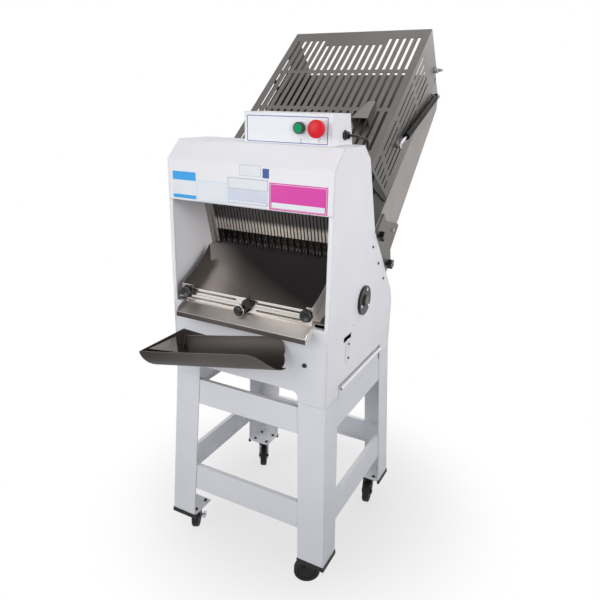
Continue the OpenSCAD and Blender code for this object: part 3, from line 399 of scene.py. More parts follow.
slopeGrain = {"stretch": (1, 0.03, 0.03), "grainScale": 600}  # direction of the brushed lines
uprightGrain = {"stretch": (1, 1, 0.03), "grainScale": 500}
acrossGrain = {"stretch": (0.03, 1, 1), "grainScale": 600}
polishGrain = {"stretch": (0.02, 1, 1), "grainScale": 500}
coverSteel = {
    "colour": (113, 109, 107), "patch": (101, 97, 95), "worn": (166, 162, 158),
    "lines": (130, 126, 123), **slopeGrain, "grainScale": 700,
    # the tone on inner faces is painted shade on the cover's inward and downward faces
    "metallic": 0.8, "roughness": (0.42, 0.56), "inside": (34, 32, 31),
}
finishes = {
    # its film tone is a painted highlight: faces turned up are lighter, as under light from above
    "white_enamel": finishMaterial(
        "whiteEnamel", colour=(233, 233, 238), patch=(226, 227, 232), worn=(214, 213, 214),
        film=(252, 252, 252), roughness=(0.38, 0.48), grainScale=900, bump=0.06,
        edgeRadius=0.003, patchScale=4),
    "cover_grey": finishMaterial("coverSteel", **coverSteel),
    "stainless": finishMaterial(
        "brushedStainless", colour=(164, 159, 155), patch=(148, 143, 139), worn=(214, 210, 206),
        lines=(186, 181, 177), **acrossGrain, metallic=1, roughness=(0.24, 0.42)),
    # its film tone is painted shade inside the scoop, and its ramp is painted shade darkening the
    # closed left end
    "dark_stainless": finishMaterial(
        "scoopSteel", colour=(88, 82, 78), patch=(76, 71, 67), worn=(206, 201, 196),
        lines=(98, 92, 88), film=(50, 45, 42), stretch=(0.03, 1, 1), grainScale=500,
        ramp={"axis": (-1, 0, 0), "start": 0.06, "full": 0.24, "colour": (52, 47, 45)},
        metallic=0.6, roughness=(0.4, 0.56), wearShare=0.5),
    "polished_steel": finishMaterial(
        "polishedSteel", colour=(214, 209, 203), patch=(196, 190, 184), worn=(240, 238, 236),
        lines=(226, 222, 217), **polishGrain, metallic=1, roughness=(0.14, 0.3)),
    "zinc": finishMaterial(
        "zincPlate", colour=(190, 192, 197), patch=(165, 167, 173), worn=(225, 226, 230),
        grainScale=400, metallic=1, roughness=(0.26, 0.42)),
    "blade_steel": finishMaterial(
        "bladeSteel", colour=(186, 182, 177), patch=(160, 156, 151), worn=(238, 236, 233),
        lines=(205, 201, 196), **uprightGrain, metallic=1, roughness=(0.2, 0.34),
        edgeRadius=0.0003),
    "black_rubber": finishMaterial(
        "blackRubber", colour=(14, 14, 15), patch=(22, 22, 23), worn=(46, 45, 46),
        grainScale=700, bump=0.12, roughness=(0.45, 0.65), ior=1.38),
    "black_plastic": finishMaterial(
        "blackPlastic", colour=(10, 10, 11), patch=(16, 16, 17), worn=(44, 44, 46),
        grainScale=800, bump=0.03, roughness=(0.07, 0.15), ior=1.46),
    "black_iron": finishMaterial(
        "blackIron", colour=(32, 32, 34), patch=(44, 43, 44), worn=(92, 91, 92),
        grainScale=260, bump=0.25, roughness=(0.42, 0.6)),
    "motor_grey": finishMaterial(
        "motorPaint", colour=(96, 104, 112), patch=(84, 91, 99), worn=(130, 136, 142),
        grainScale=500, bump=0.1, roughness=(0.4, 0.55)),
    "panel_white": finishMaterial(
        "panelFilm", colour=(234, 235, 239), patch=(230, 231, 236), worn=(216, 217, 221),
        grainScale=1200, bump=0.03, roughness=(0.3, 0.38)),
    "green_plastic": finishMaterial(
        "greenButton", colour=(8, 158, 98), patch=(6, 148, 90), worn=(50, 186, 130),
        grainScale=600, bump=0.02, roughness=(0.3, 0.4), ior=1.2),
    "red_plastic": finishMaterial(
        "redMushroom", colour=(222, 22, 38), patch=(208, 16, 32), worn=(236, 70, 80),
        grainScale=600, bump=0.02, roughness=(0.22, 0.32), ior=1.36),
}
# its worn tone, lighter than the paint, is a painted highlight along the rounded edges
softEnamel = finishMaterial(
    "softEdgedEnamel", colour=(239, 238, 241), patch=(233, 232, 236), worn=(243, 242, 245),
    roughness=(0.34, 0.44), grainScale=900, bump=0.06, edgeRadius=0.005,
    patchScale=4, wearShare=0.2)
forkSteel = finishMaterial(
    "darkForkSteel", colour=(44, 44, 47), patch=(34, 34, 36), worn=(118, 118, 122),
    grainScale=400, metallic=0.7, roughness=(0.3, 0.46))
# a darker copy of the blade steel: painted shade on the blades inside the cabinet
bladeShade = finishMaterial(
    "shadedBladeSteel", colour=(122, 118, 114), patch=(104, 101, 97), worn=(206, 203, 199),
    lines=(136, 132, 128), **uprightGrain, metallic=1, roughness=(0.22, 0.36), edgeRadius=0.0003)
ownFinishes = {  # pieces whose tone departs from the rest of their slot
    "front_hood": softEnamel, "side_panel_left": softEnamel, "side_panel_right": softEnamel,
    "control_box": softEnamel, "front_blades": bladeShade, "rear_blades": bladeShade,
    # its film tone is painted shade: the feed floor is darkened as in the cover's shadow
    "infeed_floor": finishMaterial(
        "shadedFeedSteel", colour=(150, 146, 142), patch=(136, 132, 128), worn=(180, 176, 172),
        lines=(164, 160, 156), film=(40, 37, 35), **slopeGrain, metallic=0.9,
        roughness=(0.3, 0.45)),
    # its tone under the lid is painted shade on the upper sides, where the cover shades them
    "infeed_sides": finishMaterial(
        "feedSideSteel", colour=(162, 157, 154), patch=(146, 141, 138), worn=(212, 208, 204),
        lines=(176, 171, 167), **slopeGrain, metallic=0.8, roughness=(0.46, 0.6),
        covered=(62, 59, 57)),
    "infeed_brackets": finishMaterial(
        "bracketSteel", colour=(120, 116, 112), patch=(106, 102, 98), worn=(190, 186, 182),
        lines=(134, 130, 126), **slopeGrain, metallic=0.8, roughness=(0.46, 0.6)),
    # its ramp is painted shade: the chute darkens towards the rear, inside the cabinet
    "discharge_chute": finishMaterial(
        "chuteSteel", colour=(212, 202, 195), patch=(190, 181, 174), worn=(232, 227, 222),
        lines=(222, 213, 206), **acrossGrain, metallic=1, roughness=(0.24, 0.38),
        ramp={"axis": (0.4, 1, 0), "start": frontY + 0.05, "full": frontY + 0.13,
              "colour": (104, 100, 100)}),
    # its ramp is painted shadow: the top of the comb darkens, as under the hood's lower edge
    "upper_comb": finishMaterial(
        "combSteel", colour=(206, 197, 189), patch=(188, 180, 172), worn=(232, 226, 220),
        lines=(220, 212, 205), **uprightGrain, metallic=0.85, roughness=(0.34, 0.48),
        edgeRadius=0.0006,
        ramp={"axis": (0, 0, 1), "start": 1.06, "full": 1.076, "colour": (82, 79, 79)}),
    # its ramp is painted shade: the shelf darkens towards its left end
    "bagging_shelf": finishMaterial(
        "shelfSteel", colour=(238, 231, 225), patch=(222, 215, 209), worn=(246, 243, 240),
        lines=(244, 238, 233), **polishGrain, metallic=0.6, roughness=(0.3, 0.46),
        ramp={"axis": (-1, 0, 0), "start": -0.14, "full": 0.16, "colour": (142, 137, 133)}),
    # a darker copy of the guide steel, painted shade; its bright worn edges are painted highlights
    "left_guide": finishMaterial(
        "shadedLeftGuideSteel", colour=(140, 135, 132), patch=(124, 119, 116), worn=(240, 237, 234),
        lines=(154, 149, 145), **slopeGrain, metallic=0.9, roughness=(0.24, 0.38),
        edgeRadius=0.0024, wearShare=0.8),
    # a lighter copy of the guide steel, a painted highlight; its bright worn edges are painted
    # highlights
    "right_guide": finishMaterial(
        "litRightGuideSteel", colour=(224, 218, 213), patch=(206, 200, 195), worn=(244, 241, 238),
        lines=(232, 227, 222), **slopeGrain, metallic=0.55, roughness=(0.3, 0.44),
        edgeRadius=0.0024, wearShare=0.8),
    "bearing_flanges": finishMaterial(
        "castFlange", colour=(46, 44, 43), patch=(36, 34, 33), worn=(120, 117, 115),
        grainScale=260, bump=0.25, metallic=0.6, roughness=(0.3, 0.46)),
    "gas_tube": finishMaterial(
        "blackTubePaint", colour=(4, 4, 5), patch=(8, 8, 9), worn=(40, 40, 42),
        grainScale=700, bump=0.02, roughness=(0.42, 0.55), ior=1.18),
}
cornerNames = ("fl", "fr", "rl", "rr")
for corner in cornerNames:
    ownFinishes["caster_fork_" + corner] = forkSteel
for row in frame["record"]["subparts"]:
    data = nodes[row["node"]].data
    data.materials.clear()
    data.materials.append(ownFinishes.get(row["node"], finishes[row["material_slot"]]))
    data.polygons.foreach_set("material_index", [0] * len(data.polygons))
print("finishes:", len(finishes))


# Plain mesh helpers
def addPiece(name, data, body, slot, material=None):
    data.materials.clear()
    data.materials.append(material or finishes[slot])
    obj = linked(name, data)
    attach(obj, body)
    return obj


def facing(origin, normal, upward):  # local z along the normal, local y near upward
    z = Vector(normal).normalized()
    x = Vector(upward).cross(z).normalized()
    turned = Matrix((x, z.cross(x), z)).transposed().to_4x4()
    return Matrix.Translation(origin) @ turned


def roundedOutline(width, height, radius, steps=6):
    points = []
    for cornerX, cornerY, start in ((1, 1, 0), (-1, 1, 90), (-1, -1, 180), (1, -1, 270)):
        middle = Vector((cornerX * (width / 2 - radius), cornerY * (height / 2 - radius)))
        for k in range(steps + 1):
            turn = radians(start + 90 * k / steps)
            points.append(middle + radius * Vector((cos(turn), sin(turn))))
    return points


def outlineMm(width, height, radius, steps=6):  # given in millimetres, made in metres
    return [p / 1000 for p in roundedOutline(width, height, radius, steps)]


def meshFrom(name, bm, place=Matrix()):
    bm.transform(place)
    data = bpy.data.meshes.new(name)
    bm.to_mesh(data)
    bm.free()
    return data


def joinRings(bm, low, high):
    for k in range(len(low)):
        n = (k + 1) % len(low)
        bm.faces.new((low[k], low[n], high[n], high[k]))


def turnOut(bm):
    bmesh.ops.recalc_face_normals(bm, faces=bm.faces)


def flatPlate(name, outline, thickness, place, bevel=0.0):
    bm = bmesh.new()
    base = bm.faces.new([bm.verts.new((p.x, p.y, 0)) for p in outline])
    raised = bmesh.ops.extrude_face_region(bm, geom=[base])
    top = [e for e in raised["geom"] if isinstance(e, bmesh.types.BMVert)]
    bmesh.ops.translate(bm, verts=top, vec=(0, 0, thickness))
    turnOut(bm)
    if bevel:
        edges = [e for e in bm.edges if all(abs(v.co.z - thickness) < 1e-7 for v in e.verts)]
        bmesh.ops.bevel(bm, geom=edges, offset=bevel, segments=2, affect="EDGES", profile=0.5)
    return meshFrom(name, bm, place)


def ringPlate(name, outer, inner, thickness, place):  # a flat frame between two outlines
    bm = bmesh.new()
    rows = []
    for outline, z in ((outer, 0), (outer, thickness), (inner, thickness), (inner, 0)):
        rows.append([bm.verts.new((p.x, p.y, z)) for p in outline])
    for low, high in zip(rows, rows[1:] + rows[:1]):
        joinRings(bm, low, high)
    turnOut(bm)
    return meshFrom(name, bm, place)


def turnedMesh(name, profile, place, steps, lobes=0, lobeDepth=0.0):  # radius, height, lobe share
    bm = bmesh.new()
    rings = []
    for radius, height, share in profile:
        ring = []
        for k in range(steps):
            turn = 2 * pi * k / steps
            waist = radius * (1 - share * lobeDepth * (0.5 - 0.5 * cos(lobes * turn)))
            ring.append(bm.verts.new((waist * cos(turn), waist * sin(turn), height)))
        rings.append(ring)
    for low, high in zip(rings, rings[1:]):
        joinRings(bm, low, high)
    bm.faces.new(list(reversed(rings[0])))
    bm.faces.new(rings[-1])
    turnOut(bm)
    for face in bm.faces:
        face.smooth = len(face.verts) == 4
    return meshFrom(name, bm, place)


def prismMesh(name, near, far):  # closed solid between two outlines with the same number of points
    bm = bmesh.new()
    low, high = [bm.verts.new(p) for p in near], [bm.verts.new(p) for p in far]
    bm.faces.new(low)
    bm.faces.new(list(reversed(high)))
    joinRings(bm, low, high)
    turnOut(bm)
    return meshFrom(name, bm)


# Control cable from the gland over the rear edge of the hood
cable = {
    "diameter": 0.007, "start": (231, 130, 1335), "dip": 9.5, "bend": 18, "run": 56, "drop": 20,
    "bendSteps": 6, "dropSteps": 8,
}
hoodRear = {"topDepth": 187, "topHeight": 1309, "slope": degrees(atan2(39, 48))}


def cableRoute(values, rear):
    dip = radians(values["dip"])
    slope = radians(rear["slope"])
    x, y, z = values["start"]
    bend, drop = values["bend"], values["drop"]
    route = []
    for k in range(values["bendSteps"] + 1):
        turn = radians(90 * k / values["bendSteps"])
        out = bend * (1 - cos(turn))
        sideways = x + bend * sin(turn)
        route.append((sideways, y + out * cos(dip), z - out * sin(dip)))
    reach = bend + values["run"]
    midY = y + reach * cos(dip) - drop * sin(dip)
    midZ = z - reach * sin(dip) - drop * cos(dip)
    whole = pi / 2 + slope - dip
    for k in range(values["dropSteps"] + 1):
        turn = dip + whole * k / values["dropSteps"]
        route.append((x + bend, midY + drop * sin(turn), midZ + drop * cos(turn)))
    endY, endZ = route[-1][1:]
    past, above = endY - rear["topDepth"], endZ - rear["topHeight"]
    left = past * sin(slope) + above * cos(slope)
    route.append((x + bend, endY - left * sin(slope), endZ - left * cos(slope)))
    return [at(*p) for p in route]


def makeCable(values):
    route = cableRoute(values, hoodRear)
    data = bpy.data.curves.new("controlCable", "CURVE")
    data.dimensions = "3D"
    data.bevel_depth = values["diameter"] / 2
    data.bevel_resolution = 4
    data.use_fill_caps = True
    line = data.splines.new("POLY")
    line.points.add(len(route) - 1)
    for point, p in zip(line.points, route):
        point.co = (*p, 1)
    data.materials.append(finishes["black_rubber"])
    obj = linked("controlCableSheath", data)
    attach(obj, "machine")
    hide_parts("control_cable")
    length = sum((b - a).length for a, b in zip(route, route[1:]))
    return length


print("control cable: %.3f m" % makeCable(cable))


# Screws and rivets, set on points that carry their own facing direction
# Rise and sink are shares of the height, the taper a share of the width
screwHead = {"crownRise": 0.45, "socketSink": -0.6, "socketTaper": 0.95}


def screwTree(values):
    tree = bpy.data.node_groups.new("buttonHeadScrews", "GeometryNodeTree")
    sockets = {"Geometry": "Geometry", "Radius": "Float", "Height": "Float", "Crown": "Float",
               "Socket": "Float", "Sides": "Int", "Finish": "Material"}
    for label, kind in sockets.items():
        tree.interface.new_socket(name=label, in_out="INPUT", socket_type="NodeSocket" + kind)
    tree.interface.new_socket(name="Geometry", in_out="OUTPUT", socket_type="NodeSocketGeometry")
    start = tree.nodes.new("NodeGroupInput").outputs
    inputs = {"Vertices": start["Sides"], "Radius": start["Radius"], "Depth": start["Height"]}
    shank = addNode(tree, "GeometryNodeMeshCylinder", inputs)
    rise = mathOut(tree, "MULTIPLY", start["Height"], values["crownRise"])
    sink = mathOut(tree, "MULTIPLY", start["Height"], values["socketSink"])
    head, top = shank.outputs["Mesh"], shank.outputs["Top"]
    steps = ((rise, start["Crown"]), (0, start["Socket"]), (sink, values["socketTaper"]))
    for offset, scale in steps:
        inputs = {"Mesh": head, "Selection": top, "Offset Scale": offset, "Individual": False}
        pull = addNode(tree, "GeometryNodeExtrudeMesh", inputs)
        top = pull.outputs["Top"]
        inputs = {"Geometry": pull.outputs["Mesh"], "Selection": top, "Scale": scale}
        head = addNode(tree, "GeometryNodeScaleElements", inputs).outputs["Geometry"]
    aim = addNode(tree, "GeometryNodeInputNamedAttribute", {"Name": "facing"},
                  data_type="FLOAT_VECTOR")
    turn = addNode(tree, "FunctionNodeAlignRotationToVector", {"Vector": aim.outputs["Attribute"]},
                   axis="Z")
    inputs = {"Points": start["Geometry"], "Instance": head, "Rotation": turn.outputs["Rotation"]}
    spread = addNode(tree, "GeometryNodeInstanceOnPoints", inputs)
    real = addNode(tree, "GeometryNodeRealizeInstances", {"Geometry": spread.outputs["Instances"]})
    inputs = {"Geometry": real.outputs["Geometry"], "Material": start["Finish"]}
    coat = addNode(tree, "GeometryNodeSetMaterial", inputs)
    addNode(tree, "NodeGroupOutput", {"Geometry": coat.outputs["Geometry"]})
    return tree


screwNodes = screwTree(screwHead)


def grow(tree, source, inputs):  # runs a tree on a point mesh and gives back a plain mesh
    obj = linked(source.name, source)
    modifier = obj.modifiers.new("grow", "NODES")
    modifier.node_group = tree
    for item in tree.interface.items_tree:
        if item.in_out == "INPUT" and item.name in inputs:
            modifier[item.identifier] = inputs[item.name]
    shown = obj.evaluated_get(bpy.context.evaluated_depsgraph_get())
    data = bpy.data.meshes.new_from_object(shown)
    obj.modifiers.remove(modifier)
    bpy.data.objects.remove(obj)
    return data


def addScrews(name, spots, slot, radius, height, socket=0.5, crown=0.72, sides=18):
    points = bpy.data.meshes.new(name)
    points.from_pydata([place for place, normal in spots], [], [])
    aim = points.attributes.new("facing", "FLOAT_VECTOR", "POINT")
    for item, (place, normal) in zip(aim.data, spots):
        item.vector = normal
    inputs = {"Radius": radius / 1000, "Height": height / 1000, "Socket": socket, "Crown": crown,
              "Sides": sides, "Finish": finishes[slot]}
    data = grow(screwNodes, points, inputs)
    addPiece(name, data, "machine", slot)


cabinetScrews = {  # y and z on the side panels, x and z on the apron
    "seat": [(297, 1011), (353, 948), (411, 885)],
    "studs": [(171, 807), (55, 806)],
    "apron": (187, 734),
    "flange": {"centre": (242, 862), "circle": 33, "angles": (78, 198, 318),
               "face": 261, "boss": 265},
}


def bothSides(spots, x):
    return [(at(side * x, y, z), toRight * side) for side in (1, -1) for y, z in spots]


def flangeSpots(values):
    y, z = values["centre"]
    turns = [radians(a) for a in values["angles"]]
    return [(y + values["circle"] * cos(t), z + values["circle"] * sin(t)) for t in turns]


def addCabinetScrews(values):
    seats = bothSides(values["seat"], halfWidth)
    addScrews("seatScrews", seats, "black_iron", radius=4.2, height=3)
    studs = [(at(halfWidth, y, z), toRight) for y, z in values["studs"]]
    addScrews("panelStuds", studs, "white_enamel", radius=2.6, height=1.2, socket=0.4)
    x, z = values["apron"]
    apron = [(at(x, 0, z), toFront)]
    addScrews("apronBolt", apron, "black_iron", radius=6.5, height=5, socket=0.6)
    flange = values["flange"]
    ring = bothSides(flangeSpots(flange), flange["face"])
    addScrews("flangeScrews", ring, "zinc", radius=5, height=4)
    bosses = bothSides([flange["centre"]], flange["boss"])
    addScrews("bearingCaps", bosses, "cover_grey", radius=13, height=3, socket=0.2, sides=32)


halfWidth = sideX * 1000
addCabinetScrews(cabinetScrews)
print("cabinet screws set")


# Blank plates and stickers on the hood front
filmSheet = {
    "layer": 0.12, "lap": 1.5,  # millimetres per printed layer, and its thickness in layers
    "corner": 2.0, "cornerLimit": 2.2,  # corner radius, and how often it must fit in a side
    "patch": 0.97, "worn": 1.05,  # shares of the film's own tone
}


def printedFilm(name, r, g, b, rough=(0.3, 0.4), metallic=0.0):
    tone, sheet = (r, g, b), filmSheet
    return finishMaterial(
        name, colour=tone, patch=[c * sheet["patch"] for c in tone],
        worn=[min(255, c * sheet["worn"]) for c in tone], roughness=rough,
        grainScale=900, bump=0.02, metallic=metallic, edgeRadius=0.0002)


films = {
    "sky": printedFilm("skyFilm", 10, 160, 232),
    "white": printedFilm("whiteFilm", 232, 235, 240),
    "ice": printedFilm("iceFilm", 190, 222, 240),
    "magenta": printedFilm("magentaFilm", 218, 52, 164),
    "navy": printedFilm("navyFilm", 34, 78, 150),
    "line": printedFilm("lineFilm", 50, 80, 158),
    "silver": printedFilm("silverFoil", 190, 195, 208, (0.34, 0.46), 0.3),
    "grey": printedFilm("greyPrint", 150, 158, 172),
}
hoodStickers = {  # x0, x1, z0, z1, the film and its layer, counted from the hood
    "stickerSkyBase": (-238, -159, 1153, 1226, "white", 0),
    "stickerSkyHead": (-238, -159, 1203, 1226, "sky", 1),
    "stickerSkyFoot": (-238, -159, 1153, 1163, "sky", 1),
    "stickerIceBase": (-157, -59, 1151, 1206, "ice", 0),
    "stickerIceField": (-155.5, -60.5, 1152.5, 1204.5, "white", 1),
    "dataPlateFoil": (-55, 69.5, 1154.5, 1223, "silver", 0),
    "dataPlateRim": (-53.5, 68, 1194, 1221.5, "grey", 1),
    "dataPlateHead": (-52.5, 67, 1195, 1220.5, "white", 2),
    "dataPlateFootRim": (-53, 66, 1156, 1164, "grey", 1),
    "dataPlateFoot": (-52.3, 65.3, 1156.7, 1163.3, "white", 2),
    "stickerMagentaBase": (73, 238, 1149.5, 1218, "magenta", 0),
    "stickerMagentaLine": (76, 235, 1152.5, 1215, "white", 1),
    "stickerMagentaField": (77, 234, 1153.5, 1214, "magenta", 2),
    "stickerMagentaBand": (80, 231, 1154.5, 1168, "white", 3),
    "labelLine": (-17, 47, 1229.5, 1257, "grey", 0),
    "labelField": (-16.2, 46.2, 1230.3, 1256.2, "white", 1),
    "labelNavy": (52.8, 72, 1227, 1251.5, "navy", 0),
}
plateRivets = {"x": (-51.5, 66), "z": (1158, 1219.5), "y": -0.2}


def addSticker(name, x0, x1, z0, z1, film, layer):
    sheet, width, height = filmSheet, x1 - x0, z1 - z0
    middle = at((x0 + x1) / 2, -layer * sheet["layer"], (z0 + z1) / 2)
    corner = min(sheet["corner"], min(width, height) / sheet["cornerLimit"])
    data = flatPlate(name, outlineMm(width, height, corner), sheet["layer"] / 1000 * sheet["lap"],
                     facing(middle, toFront, toTop))
    addPiece(name, data, "machine", "panel_white", films[film])


for label, spot in hoodStickers.items():
    addSticker(label, *spot)
rivets = [at(x, plateRivets["y"], z) for x in plateRivets["x"] for z in plateRivets["z"]]
rivets = [(spot, toFront) for spot in rivets]
addScrews("plateRivets", rivets, "zinc", radius=1.7, height=1.0, socket=0.3)
print("stickers:", len(hoodStickers))


# Printed frame and button marks on the control panel
panel = {
    "face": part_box("control_panel")[0].y,
    "x": (-30, 209), "z": (1311, 1382),
    "inset": 2.5, "line": 1.8, "corners": (3, 2), "print": 0.00015,  # print thickness in metres
    "start": (132, 1323), "stop": (183, 1327),
    "bar": (1.6, 7, 0.4), "ring": ((7, 7, 3.49), (4.6, 4.6, 2.29)),
    "rule": (7, 1, 0.3), "ruleDrop": 7,
}


def panelSpot(x, z):
    return facing(Vector((x / 1000, panel["face"], z / 1000)), toFront, toTop)


def addPrint(name, outlines, x, z):  # a filled mark from one outline, an open one from two
    make = ringPlate if len(outlines) == 2 else flatPlate
    data = make(name, *outlines, panel["print"], panelSpot(x, z))
    addPiece(name, data, "machine", "panel_white", films["line"])


def addPanelPrint(values):
    width = values["x"][1] - values["x"][0] - 2 * values["inset"]
    height = values["z"][1] - values["z"][0] - 2 * values["inset"]
    line, (outer, inner) = 2 * values["line"], values["corners"]
    border = [outlineMm(width, height, outer), outlineMm(width - line, height - line, inner)]
    addPrint("panelBorder", border, sum(values["x"]) / 2, sum(values["z"]) / 2)
    addPrint("startMark", [outlineMm(*values["bar"], 2)], *values["start"])
    addPrint("stopMark", [outlineMm(*size, 8) for size in values["ring"]], *values["stop"])
    for button in ("start", "stop"):
        x, z = values[button]
        addPrint(button + "Rule", [outlineMm(*values["rule"], 2)], x, z - values["ruleDrop"])


addPanelPrint(panel)
print("control panel printed")


# Access plate on the right side panel
accessPlate = {
    "centre": (139, 739), "size": (34, 76), "corner": 16.95, "cornerSteps": 10,
    "thickness": 2.2, "bevel": 0.0006, "screws": ((139, 761), (140, 717)),
}


def addAccessPlate(values):
    y, z = values["centre"]
    outline = outlineMm(*values["size"], values["corner"], values["cornerSteps"])
    place = facing(at(halfWidth, y, z), toRight, toTop)
    data = flatPlate("accessPlate", outline, values["thickness"] / 1000, place, values["bevel"])
    addPiece("accessPlate", data, "machine", "white_enamel")
    face = halfWidth + values["thickness"]
    spots = [(at(face, screwY, screwZ), toRight) for screwY, screwZ in values["screws"]]
    addScrews("accessScrews", spots, "black_iron", radius=3.6, height=3)


addAccessPlate(accessPlate)


# Hexagon bolts of the casters, the hinge and the gas spring
bolts = {
    "casterReach": 0.026, "casterFaces": (0.109, 0.1),  # metres from the swivel and the floor
    "spring": (74, 208),  # s and t on the feed
    "pinEnd": 0.256, "pinTip": 0.265,  # metres from the middle
    "bracket": (479, 1028),
}
joints = {row["name"]: row for row in frame["record"]["behaviour"]["joints"]}
hexHead = {"crown": 0.9, "sides": 6}


def casterSpots(values):
    spots = []
    reach, (top, low) = values["casterReach"], values["casterFaces"]
    for corner in cornerNames:
        x, y = joints["swivel_" + corner]["pos_m"][:2]
        for sideways in (-reach, reach):
            for along in (-reach, reach):
                spots.append((Vector((x + sideways, y + along, top)), toTop))
                spots.append((Vector((x + sideways, y + along, low)), -toTop))
    return spots


def pinSpots(x):
    y, z = joints["cover_hinge"]["pos_m"][1:]
    return [(Vector((side * x, y, z)), toRight * side) for side in (1, -1)]


def addBolts(values):
    spots = casterSpots(values)
    addScrews("casterBolts", spots, "black_iron", radius=6, height=4, socket=0.6, **hexHead)
    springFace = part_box("hinge_pins")[1].x * 1000
    spots = [(onFeed(springFace, *values["spring"]), toRight)]
    addScrews("springNut", spots, "zinc", radius=7.5, height=4, socket=0.7, **hexHead)
    spots = pinSpots(values["pinEnd"])
    addScrews("hingeNuts", spots, "zinc", radius=9.5, height=8, socket=0.7, **hexHead)
    spots = pinSpots(values["pinTip"])
    addScrews("hingeEnds", spots, "zinc", radius=5.6, height=12, socket=0.4, crown=0.8, sides=16)
    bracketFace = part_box("infeed_brackets")[1].x * 1000
    spots = bothSides([values["bracket"]], bracketFace)
    addScrews("bracketNuts", spots, "zinc", radius=7, height=6, socket=0.6, **hexHead)


addBolts(bolts)
print("bolts set")


# Bright polished studs along the rear edge of the chute: painted highlights, standing for the
# glints at the finger tips
fingerGlints = {
    "x": -205.65, "pitch": 11.1, "count": 38, "y": 203.2, "z": 994.3, "facing": (0, -0.77, 0.64),
    "head": {"radius": 2.2, "height": 0.6, "socket": 0.4, "crown": 0.8, "sides": 8},
}


def addFingerGlints(values):
    normal = Vector(values["facing"]).normalized()
    across = [values["x"] + k * values["pitch"] for k in range(values["count"])]
    spots = [(at(x, values["y"], values["z"]), normal) for x in across]
    addScrews("fingerGlints", spots, "polished_steel", **values["head"])


addFingerGlints(fingerGlints)


# Knobs on the slotted bars
knobs = {  # millimetres; flare and dish begin with shares of the radius
    "guide": {"radius": 19, "length": 20, "lobes": 7, "depth": 0.12, "steps": 84, "hub": 8.5,
              "neck": 5.5, "flare": (0.9, 6.2, 0.6), "grip": 8, "shoulder": 13.5, "rounding": 4.5,
              "roundSteps": 5, "dish": ((0.62, 0.6), (0.5, 2.6), (0.2, 3.2))},
    "clamp": {"x": -9, "z": 862, "radius": 17, "face": 26, "rim": 0.6, "lip": 0.2, "steps": 56},
}


def knobProfile(values):  # radius, height and share of the lobes
    radius, length, shoulder = values["radius"], values["length"], values["shoulder"]
    share, height, lobes = values["flare"]
    rows = [(values["hub"], 0, 0), (values["hub"], values["neck"], 0),
            (radius * share, height, lobes), (radius, values["grip"], 1), (radius, shoulder, 1)]
    steps = values["roundSteps"]
    for k in range(1, steps + 1):
        turn = radians(90 * k / steps)
        inward = values["rounding"] * (1 - cos(turn))
        height = shoulder + (length - shoulder) * sin(turn)
        rows.append((radius - inward, height, 1 - k / (steps + 1)))
    rows += [(radius * share, length - sunk, 0) for share, sunk in values["dish"]]
    return [(r / 1000, h / 1000, share) for r, h, share in rows]


def addGuideKnob(side, values):
    node = side + "_guide_knob"
    low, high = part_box(node)
    middle = (low + high) / 2
    place = facing(Vector((middle.x, high.y, middle.z)), toFront, toTop)
    data = turnedMesh(side + "GuideGrip", knobProfile(values), place, values["steps"],
                      values["lobes"], values["depth"])
    grip = addPiece(side + "GuideGrip", data, side + "_knob", "black_plastic")
    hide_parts(node)


def addClampRim(values):  # bright turned edge of the clamp knob, and its dished face
    r, t, lip, face = (values[key] / 1000 for key in ("radius", "rim", "lip", "face"))
    place = facing(at(values["x"], 0, values["z"]), toFront, toTop)
    place.translation.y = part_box("slotted_bars")[0].y
    rim = [(r - t, face - 3 * t), (r + lip, face - 3 * t), (r + lip, face - t),
           (r - t / 2, face + lip), (r - 1.6 * t, face + lip)]
    dish = [(r - 1.6 * t, face), (r - 1.8 * t, face + 2 * lip), (r * 0.4, face + 2 * lip),
            (r * 0.3, face + 6 * lip)]
    pieces = (("clampRim", rim, "polished_steel"), ("clampFace", dish, "black_plastic"))
    for name, rows, slot in pieces:
        data = turnedMesh(name, [(*row, 0) for row in rows], place, values["steps"])
        addPiece(name, data, "machine", slot)


for side in ("left", "right"):
    addGuideKnob(side, knobs["guide"])
addClampRim(knobs["clamp"])
print("knobs turned")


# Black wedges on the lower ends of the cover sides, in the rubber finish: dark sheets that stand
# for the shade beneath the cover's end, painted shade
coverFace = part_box("cover_top")[1].x * 1000
coverEndShade = {  # s and t on the feed
    "outline": ((625, 40), (657, 50), (600, 178), (584.6, 174)), "inset": 0.2, "thickness": 4,
}


def addCoverEndShades(values):
    for name, side in (("coverEndShadeRight", 1), ("coverEndShadeLeft", -1)):
        levels = [side * (coverFace - values[key]) for key in ("inset", "thickness")]
        outer, inner = ([onFeed(x, s, t) for s, t in values["outline"]] for x in levels)
        addPiece(name, prismMesh(name, outer, inner), "cover", "black_rubber")


addCoverEndShades(coverEndShade)


# Cover sides with the wide slots of the photograph, in groups whose ends line up
coverSides = {
    "outline": ((0, 2), (638, 2), (586, 174), (70, 192), (0, 152)), "thickness": 2,
    "firstRow": 28, "rowPitch": 25.5, "rows": 5, "endMargin": 11,
    "slot": (8, 3.8, 4),  # width, corner radius and steps of a corner
    "groups": ((108, 224), (241, 392), (411, 538), (558, 640)),
    "stud": (452, 86, 6), "studSides": 24, "studRoot": 1,
    "tones": {"colour": (104, 100, 99), "patch": (94, 90, 89), "lines": (118, 114, 112)},
    "paintedLightTop": {"start": 0.56, "full": 0.06, "colour": (150, 144, 141)},  # painted light: lighter towards the top of the slope; start and full in metres down the slope
}


